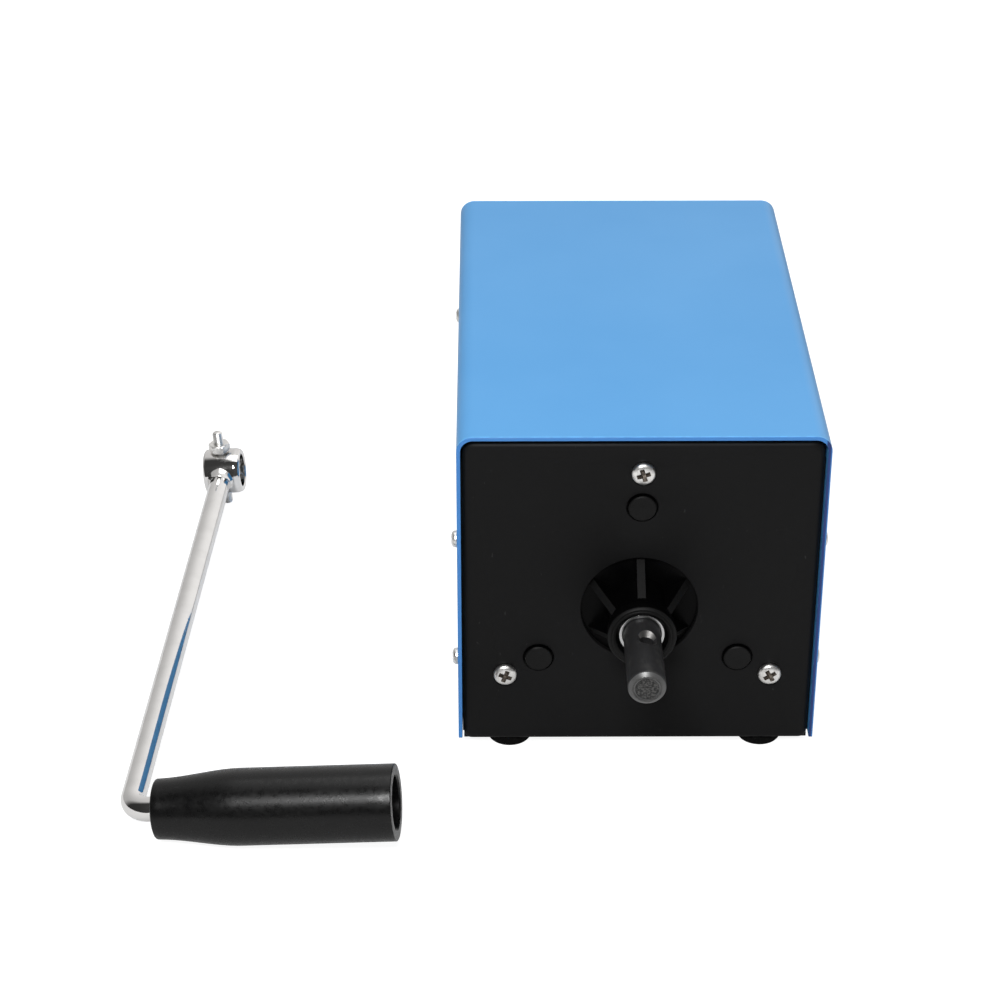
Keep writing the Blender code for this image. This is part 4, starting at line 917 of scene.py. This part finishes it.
def make_sockets():
    """USB shell with its tongue and contacts, DC barrel with its pin, and the light's domed lens."""
    low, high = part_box("usb_socket")
    wall = 0.35 * MM
    mouth = high.y
    outer = rounded_box(low.x, high.x, low.z, high.z, 0.6 * MM, 0.6 * MM, 5)
    inner = rounded_box(low.x + wall, high.x - wall, low.z + wall, high.z - wall, 0.3 * MM, 0.3 * MM, 5)
    shell = cut(prism("usb_shell", outer, low.y, mouth), prism("room", inner, mouth - 10 * MM, mouth + MM))
    show("usb_shell", shell, "zinc", "housing", "usb_socket", bevel=0.05 * MM)
    centre = middle_of(low, high)
    middle = centre.z
    tongue_box = box_points(low.x + 1.3 * MM, high.x - 1.3 * MM, middle + 0.2 * MM, middle + 1.9 * MM)
    tongue = prism("usb_tongue", tongue_box, mouth - 9.8 * MM, mouth - 1.2 * MM)
    show("usb_tongue", tongue, "wire_black", "housing", bevel=0.12 * MM)
    for number in range(4):
        name = f"usb_contact_{number + 1}"
        x = centre.x + (number - 1.5) * 2.3 * MM
        strip = box_points(x - 0.5 * MM, x + 0.5 * MM, middle + 0.05 * MM, middle + 0.18 * MM)
        show(name, prism(name, strip, mouth - 9 * MM, mouth - 1.8 * MM), "copper", "housing")
    low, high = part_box("dc_socket")
    radius = (high.x - low.x) / 2
    barrel = [(0, low.y), (radius, low.y), (radius, high.y), (3.0 * MM, high.y), (3.0 * MM, high.y - 9 * MM),
              (0, high.y - 9 * MM)]
    barrel = rounded(barrel, {2: 0.3 * MM, 3: 0.25 * MM})
    centre = middle_of(low, high)
    show("dc_barrel", moved(lathe("dc_barrel", barrel, 64), centre), "black_plastic", "housing", "dc_socket")
    pin = [(0, high.y - 9.2 * MM), (1.0 * MM, high.y - 9.2 * MM), (1.0 * MM, high.y - 1.4 * MM),
           (0, high.y - MM)]
    pin_mesh = lathe("dc_pin", rounded(pin, {2: 0.3 * MM}), 32)
    show("dc_pin", moved(pin_mesh, centre), "zinc", "housing")
    low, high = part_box("power_light")
    radius = (high.x - low.x) / 2
    dome = 1.4 * MM
    lens = [(0, low.y), (radius, low.y), (radius, high.y - dome)]
    lens += [(radius * cos(angle), high.y - dome + dome * sin(angle))
             for angle in (i * pi / 16 for i in range(1, 8))]
    lens.append((0, high.y))
    centre = middle_of(low, high)
    show("light_lens", moved(lathe("light_lens", lens, 40), centre), "lamp_green", "housing", "power_light")


# ---------------------------------------------------------------- crank

JOINTS = {joint["name"]: joint for joint in frame["joints"]}
GRIP_AXIS = Vector(JOINTS["grip_spin"]["axis"]).normalized()
CRANK_UP = Vector(JOINTS["clamp_unscrew"]["axis"]).normalized()
ARM_AXIS = CRANK_UP.cross(GRIP_AXIS).normalized()
BEND = Vector(JOINTS["grip_spin"]["pos_m"])
CRANK_FRAME = Matrix((GRIP_AXIS, ARM_AXIS, CRANK_UP)).transposed().to_4x4()
CRANK_FRAME.translation = BEND
ARM_LEAN = radians(1.7)
ARM_DIRECTION = Vector((-sin(ARM_LEAN), cos(ARM_LEAN), 0))
ARM_LENGTH = 164.2 * MM
HUB_FRAME = CRANK_FRAME @ Matrix.Translation(ARM_DIRECTION * ARM_LENGTH) @ Matrix.Rotation(ARM_LEAN, 4, "Z")
ROD_RADIUS = 3.0 * MM
HUB_RADIUS = 6.6 * MM
HUB_ENDS = (-4.95 * MM, 5.75 * MM)
NUT_RAISED = 0.2 * MM
GRIP_START = 6.6 * MM
GRIP_LENGTH = 58.65 * MM
MOUTH_DEPTH = 11 * MM


def in_crank(mesh, place=CRANK_FRAME):
    """Takes a mesh from the crank's own coordinates to the frame's."""
    mesh.transform(place)
    return mesh


def make_rod():
    """The bent bar: straight arm, tight bend, and the axle in the grip."""
    weld = ARM_LENGTH - HUB_RADIUS - 0.4 * MM
    bend = 5.0 * MM
    tangent = bend / tan(pi / 4 + ARM_LEAN / 2)
    path = [ARM_DIRECTION * (weld - (weld - tangent) * i / 40) for i in range(40)]
    steps = 16
    start = pi + ARM_LEAN
    for i in range(steps + 1):
        angle = start + i * (3 * pi / 2 - start) / steps
        path.append(Vector((tangent + bend * cos(angle), bend + bend * sin(angle), 0)))
    end = GRIP_START + GRIP_LENGTH - 6.5 * MM
    path += [Vector((tangent + (end - tangent) * i / 12, 0, 0)) for i in range(1, 12)]
    path += [Vector((end - 0.5 * MM, 0, 0)), Vector((end, 0, 0))]
    last = len(path) - 1

    def radius_at(i):
        return ROD_RADIUS - (0.45 * MM if i == last else 0)

    mesh = sweep("bent_bar", path, radius_at, 48)
    show("bent_bar", in_crank(mesh), "chrome", "crank", "crank_rod")


def make_hub():
    """Chrome tube with chamfered rims, the weld bead that holds the bar, and the stud's two holes."""
    left, right = HUB_ENDS
    bore = HUB_BORE
    profile = [(bore, left + 0.45 * MM), (bore + 0.45 * MM, left), (HUB_RADIUS - 0.5 * MM, left),
               (HUB_RADIUS, left + 0.5 * MM), (HUB_RADIUS, right - 1.5 * MM),
               (HUB_RADIUS - 0.35 * MM, right - 0.3 * MM), (HUB_RADIUS - 0.65 * MM, right),
               (bore + 0.25 * MM, right), (bore, right - 0.25 * MM)]
    profile = rounded(profile, {3: 0.15 * MM, 4: 0.3 * MM, 5: 0.12 * MM})
    tube = lathe("hub", profile, 96, "X", closed=True)
    drill = STUD_RADIUS + 0.05 * MM
    reach = 9 * MM
    cross = lathe("cross", [(0, -reach), (drill, -reach), (drill, reach), (0, reach)], 32, "Z")
    show("hub_tube", in_crank(cut(tube, cross), HUB_FRAME), "chrome", "crank", "crank_hub")
    around = 64
    rows = 10

    def bead(i, k):
        angle = 2 * pi * k / around
        t = i / (rows - 1)
        ripple = 1 + 0.05 * sin(9 * angle + 0.6) + 0.04 * sin(5 * angle)
        swell = 3.05 * MM + 1.0 * MM * t ** 1.6 * ripple
        x = swell * cos(angle)
        z = swell * sin(angle)
        front = -sqrt(HUB_RADIUS ** 2 - z ** 2)
        start = -HUB_RADIUS - 1.8 * MM
        return Vector((x, start + (front + 0.4 * MM - start) * t, z))

    weld = surface_grid("weld_bead", around, rows, bead, 50)
    show("weld_bead", in_crank(weld, HUB_FRAME), "chrome", "crank")


def make_stud():
    """Threaded stud: a helical thread of M3's pitch, with chamfered tips."""
    bottom = -10.45 * MM
    top = 13.1 * MM
    pitch = 0.5 * MM
    depth = 0.24 * MM
    around = 24
    per_pitch = 6
    rows = int((top - bottom) / pitch * per_pitch)

    def thread(i, k):
        z = bottom + (top - bottom) * i / (rows - 1)
        turn = (z / pitch - k / around) % 1
        crest = abs(2 * turn - 1)
        tip = min(z - bottom, top - z)
        radius = min(STUD_RADIUS - depth * (1 - crest), 1.05 * MM + tip)
        angle = 2 * pi * k / around
        return Vector((radius * cos(angle), radius * sin(angle), z))

    mesh = surface_grid("threaded_stud", around, rows, thread, 80)
    show("threaded_stud", in_crank(mesh, HUB_FRAME), "zinc", "clamp", "clamp_stud")


def make_nut():
    """Hexagon nut with chamfered corners."""
    apothem = 2.75 * MM
    low = HUB_RADIUS + 0.3 * MM + NUT_RAISED
    high = low + 2.4 * MM
    around = 96
    levels = [low, low + 0.18 * MM, low + 0.38 * MM, low + 0.8 * MM, high - 0.8 * MM, high - 0.38 * MM,
              high - 0.18 * MM, high]

    def outer(angle, z):
        hexagon = apothem / cos(angle % (pi / 3) - pi / 6)
        cone = apothem - 0.1 * MM + min(z - low, high - z) * 1.7
        return min(hexagon, cone)

    rows = [[(*point, low) for point in ring_points(STUD_RADIUS, around)]]
    for z in levels:
        angles = [2 * pi * k / around for k in range(around)]
        rows.append([(*on_circle(outer(angle, z), angle), z) for angle in angles])
    rows.append([(*point, high) for point in ring_points(STUD_RADIUS, around)])
    bm = bmesh.new()
    rings = [[bm.verts.new(point) for point in row] for row in rows]
    skin(bm, rings + rings[:1])
    mesh = finish(bm, "hex_nut", 25)
    show("hex_nut", in_crank(mesh, HUB_FRAME), "zinc", "clamp", "lock_nut")


def make_grip():
    """Tapered grip: rounded small end, swelling taper, and a straight body with an open bore."""
    small = 7.35 * MM
    large = 9.35 * MM
    bore = 3.15 * MM
    mouth = 6.5 * MM
    end = GRIP_START + GRIP_LENGTH
    toe = 0.6 * MM
    points = [(bore, GRIP_START + 0.3 * MM), (bore + 0.3 * MM, GRIP_START), (small - toe, GRIP_START)]
    points += [(small - toe + toe * sin(angle), GRIP_START + toe * (1 - cos(angle)))
               for angle in (i * pi / 12 for i in range(1, 6))]
    swell = 0.36 * GRIP_LENGTH
    steps = 24
    for i in range(2, steps + 1):
        t = i / steps
        radius = small + (large - small) * t * t * (3 - 2 * t)
        points.append((radius, GRIP_START + swell * t))
    rim = large - 0.04 * MM
    edge = 0.25 * MM
    points += [(large - 0.01 * MM, GRIP_START + 0.6 * GRIP_LENGTH), (rim, end - 4 * MM), (rim, end - edge)]
    points += [(rim - edge + edge * cos(angle), end - edge + edge * sin(angle))
               for angle in (i * pi / 12 for i in range(1, 6))]
    points += [(rim - edge, end), (mouth + 0.4 * MM, end), (mouth, end - 0.4 * MM),
               (mouth, end - MOUTH_DEPTH), (bore, end - MOUTH_DEPTH)]
    mesh = lathe("moulded_grip", points, 128, "X", closed=True, smooth_angle=40)
    show("moulded_grip", in_crank(mesh), "grip_plastic", "grip", "grip")


def make_retainer():
    """Push-on washer that keeps the grip on the bar."""
    x = GRIP_START + GRIP_LENGTH - MOUTH_DEPTH + 0.3 * MM
    outer = 5.2 * MM
    inner = ROD_RADIUS + 0.05 * MM
    profile = [(outer, x), (outer, x + 0.5 * MM), (3.6 * MM, x + 0.6 * MM), (inner, x + MM),
               (inner, x + 0.5 * MM), (3.5 * MM, x)]
    mesh = lathe("push_washer", profile, 64, "X", closed=True)
    show("push_washer", in_crank(mesh), "zinc", "crank", "grip_retainer")


# ---------------------------------------------------------------- studio

DARK_ROOM = 0.07
WHITE_SWEEP = 1.0
DIM_SIDE = 0.48
CAMERA_LENS = 93.1
CAMERA_FROM_BOX = Vector((-37.34 * MM, -614.63 * MM, 376.8 * MM))
CAMERA_DOWN = radians(29.521)
CAMERA_TURN = radians(-0.302)


def make_floor():
    """A plain pale floor. To the eye it glows a little, so that shadows stay as faint as on a light table."""
    bpy.ops.mesh.primitive_plane_add(size=12, location=(0, 0, CAD_BOUNDS[0][2] - 0.05 * MM))
    floor = bpy.context.object
    floor.name = "floor"
    look = bpy.data.materials.new("floor_white")
    look.use_nodes = True
    tree = look.node_tree
    seen = tree.nodes["Principled BSDF"]
    seen.inputs["Base Color"].default_value = (0.35, 0.35, 0.35, 1)
    seen.inputs["Roughness"].default_value = 0.9
    seen.inputs["Specular IOR Level"].default_value = 0.0
    seen.inputs["Emission Color"].default_value = (1, 1, 1, 1)
    seen.inputs["Emission Strength"].default_value = 0.92
    lit = tree.nodes.new("ShaderNodeBsdfDiffuse")
    lit.inputs["Color"].default_value = (0.72, 0.72, 0.72, 1)
    camera_only(tree, seen, lit, tree.nodes["Material Output"])
    floor.data.materials.append(look)


def make_world():
    """White to the eye; to everything it lights, a white sweep behind and above and a dark room in front."""
    world = bpy.data.worlds.new("studio")
    bpy.context.scene.world = world
    world.use_nodes = True
    tree = world.node_tree
    tree.nodes.clear()

    def add(kind):
        return tree.nodes.new(kind)

    split = add("ShaderNodeSeparateXYZ")
    tree.links.new(add("ShaderNodeTexCoord").outputs["Generated"], split.inputs[0])
    depth = map_range(tree, split.outputs["Y"], -0.05, 0.42, DARK_ROOM, WHITE_SWEEP, "SMOOTHSTEP")
    side = map_range(tree, split.outputs["X"], -0.9, 0.6, DIM_SIDE, 1.0, "SMOOTHSTEP")
    product = add("ShaderNodeMath")
    product.operation = "MULTIPLY"
    tree.links.new(depth, product.inputs[0])
    tree.links.new(side, product.inputs[1])
    room = add("ShaderNodeBackground")
    tree.links.new(product.outputs[0], room.inputs["Strength"])
    room.inputs["Color"].default_value = (1, 0.99, 0.98, 1)
    seen = add("ShaderNodeBackground")
    seen.inputs["Color"].default_value = (1, 1, 1, 1)
    camera_only(tree, seen, room, add("ShaderNodeOutputWorld"))


def soft_box(name, place, aim, size, power):
    """A rectangular light that faces aim."""
    data = bpy.data.lights.new(name, "AREA")
    data.shape = "RECTANGLE"
    data.size, data.size_y = size
    data.energy = power
    lamp = put(name, data)
    lamp.location = place
    lamp.rotation_euler = (Vector(aim) - Vector(place)).to_track_quat("-Z", "Y").to_euler()


def make_lights():
    """One broad light overhead, and one in front that picks out the grip and the black plate."""
    aim = (0, -0.02, 0.03)
    soft_box("key", (0.0, 0.15, 1.0), aim, (0.7, 0.7), 2.5)
    soft_box("front", (-0.13, -0.80, 0.85), aim, (0.34, 0.24), 11.0)


def make_camera():
    """Above the front, looking down at the set with a long lens."""
    data = bpy.data.cameras.new("camera")
    data.sensor_width = 36
    data.lens = CAMERA_LENS
    data.clip_start = 0.01
    data.clip_end = 20
    camera = put("camera", data)
    camera.location = Vector((MID_X, MID_Y, COVER_LOW.z)) + CAMERA_FROM_BOX
    camera.rotation_euler = (pi / 2 - CAMERA_DOWN, 0, CAMERA_TURN)
    bpy.context.scene.camera = camera


for step in (dress_cad_nodes, make_cover, make_chassis, make_feet, make_screws, make_nose, make_bush,
             make_shaft, make_sockets, make_rod, make_hub, make_stud, make_nut, make_grip, make_retainer,
             make_floor, make_world, make_lights, make_camera):
    step()
bpy.context.scene.view_settings.view_transform = "Standard"

bpy.context.view_layer.update()
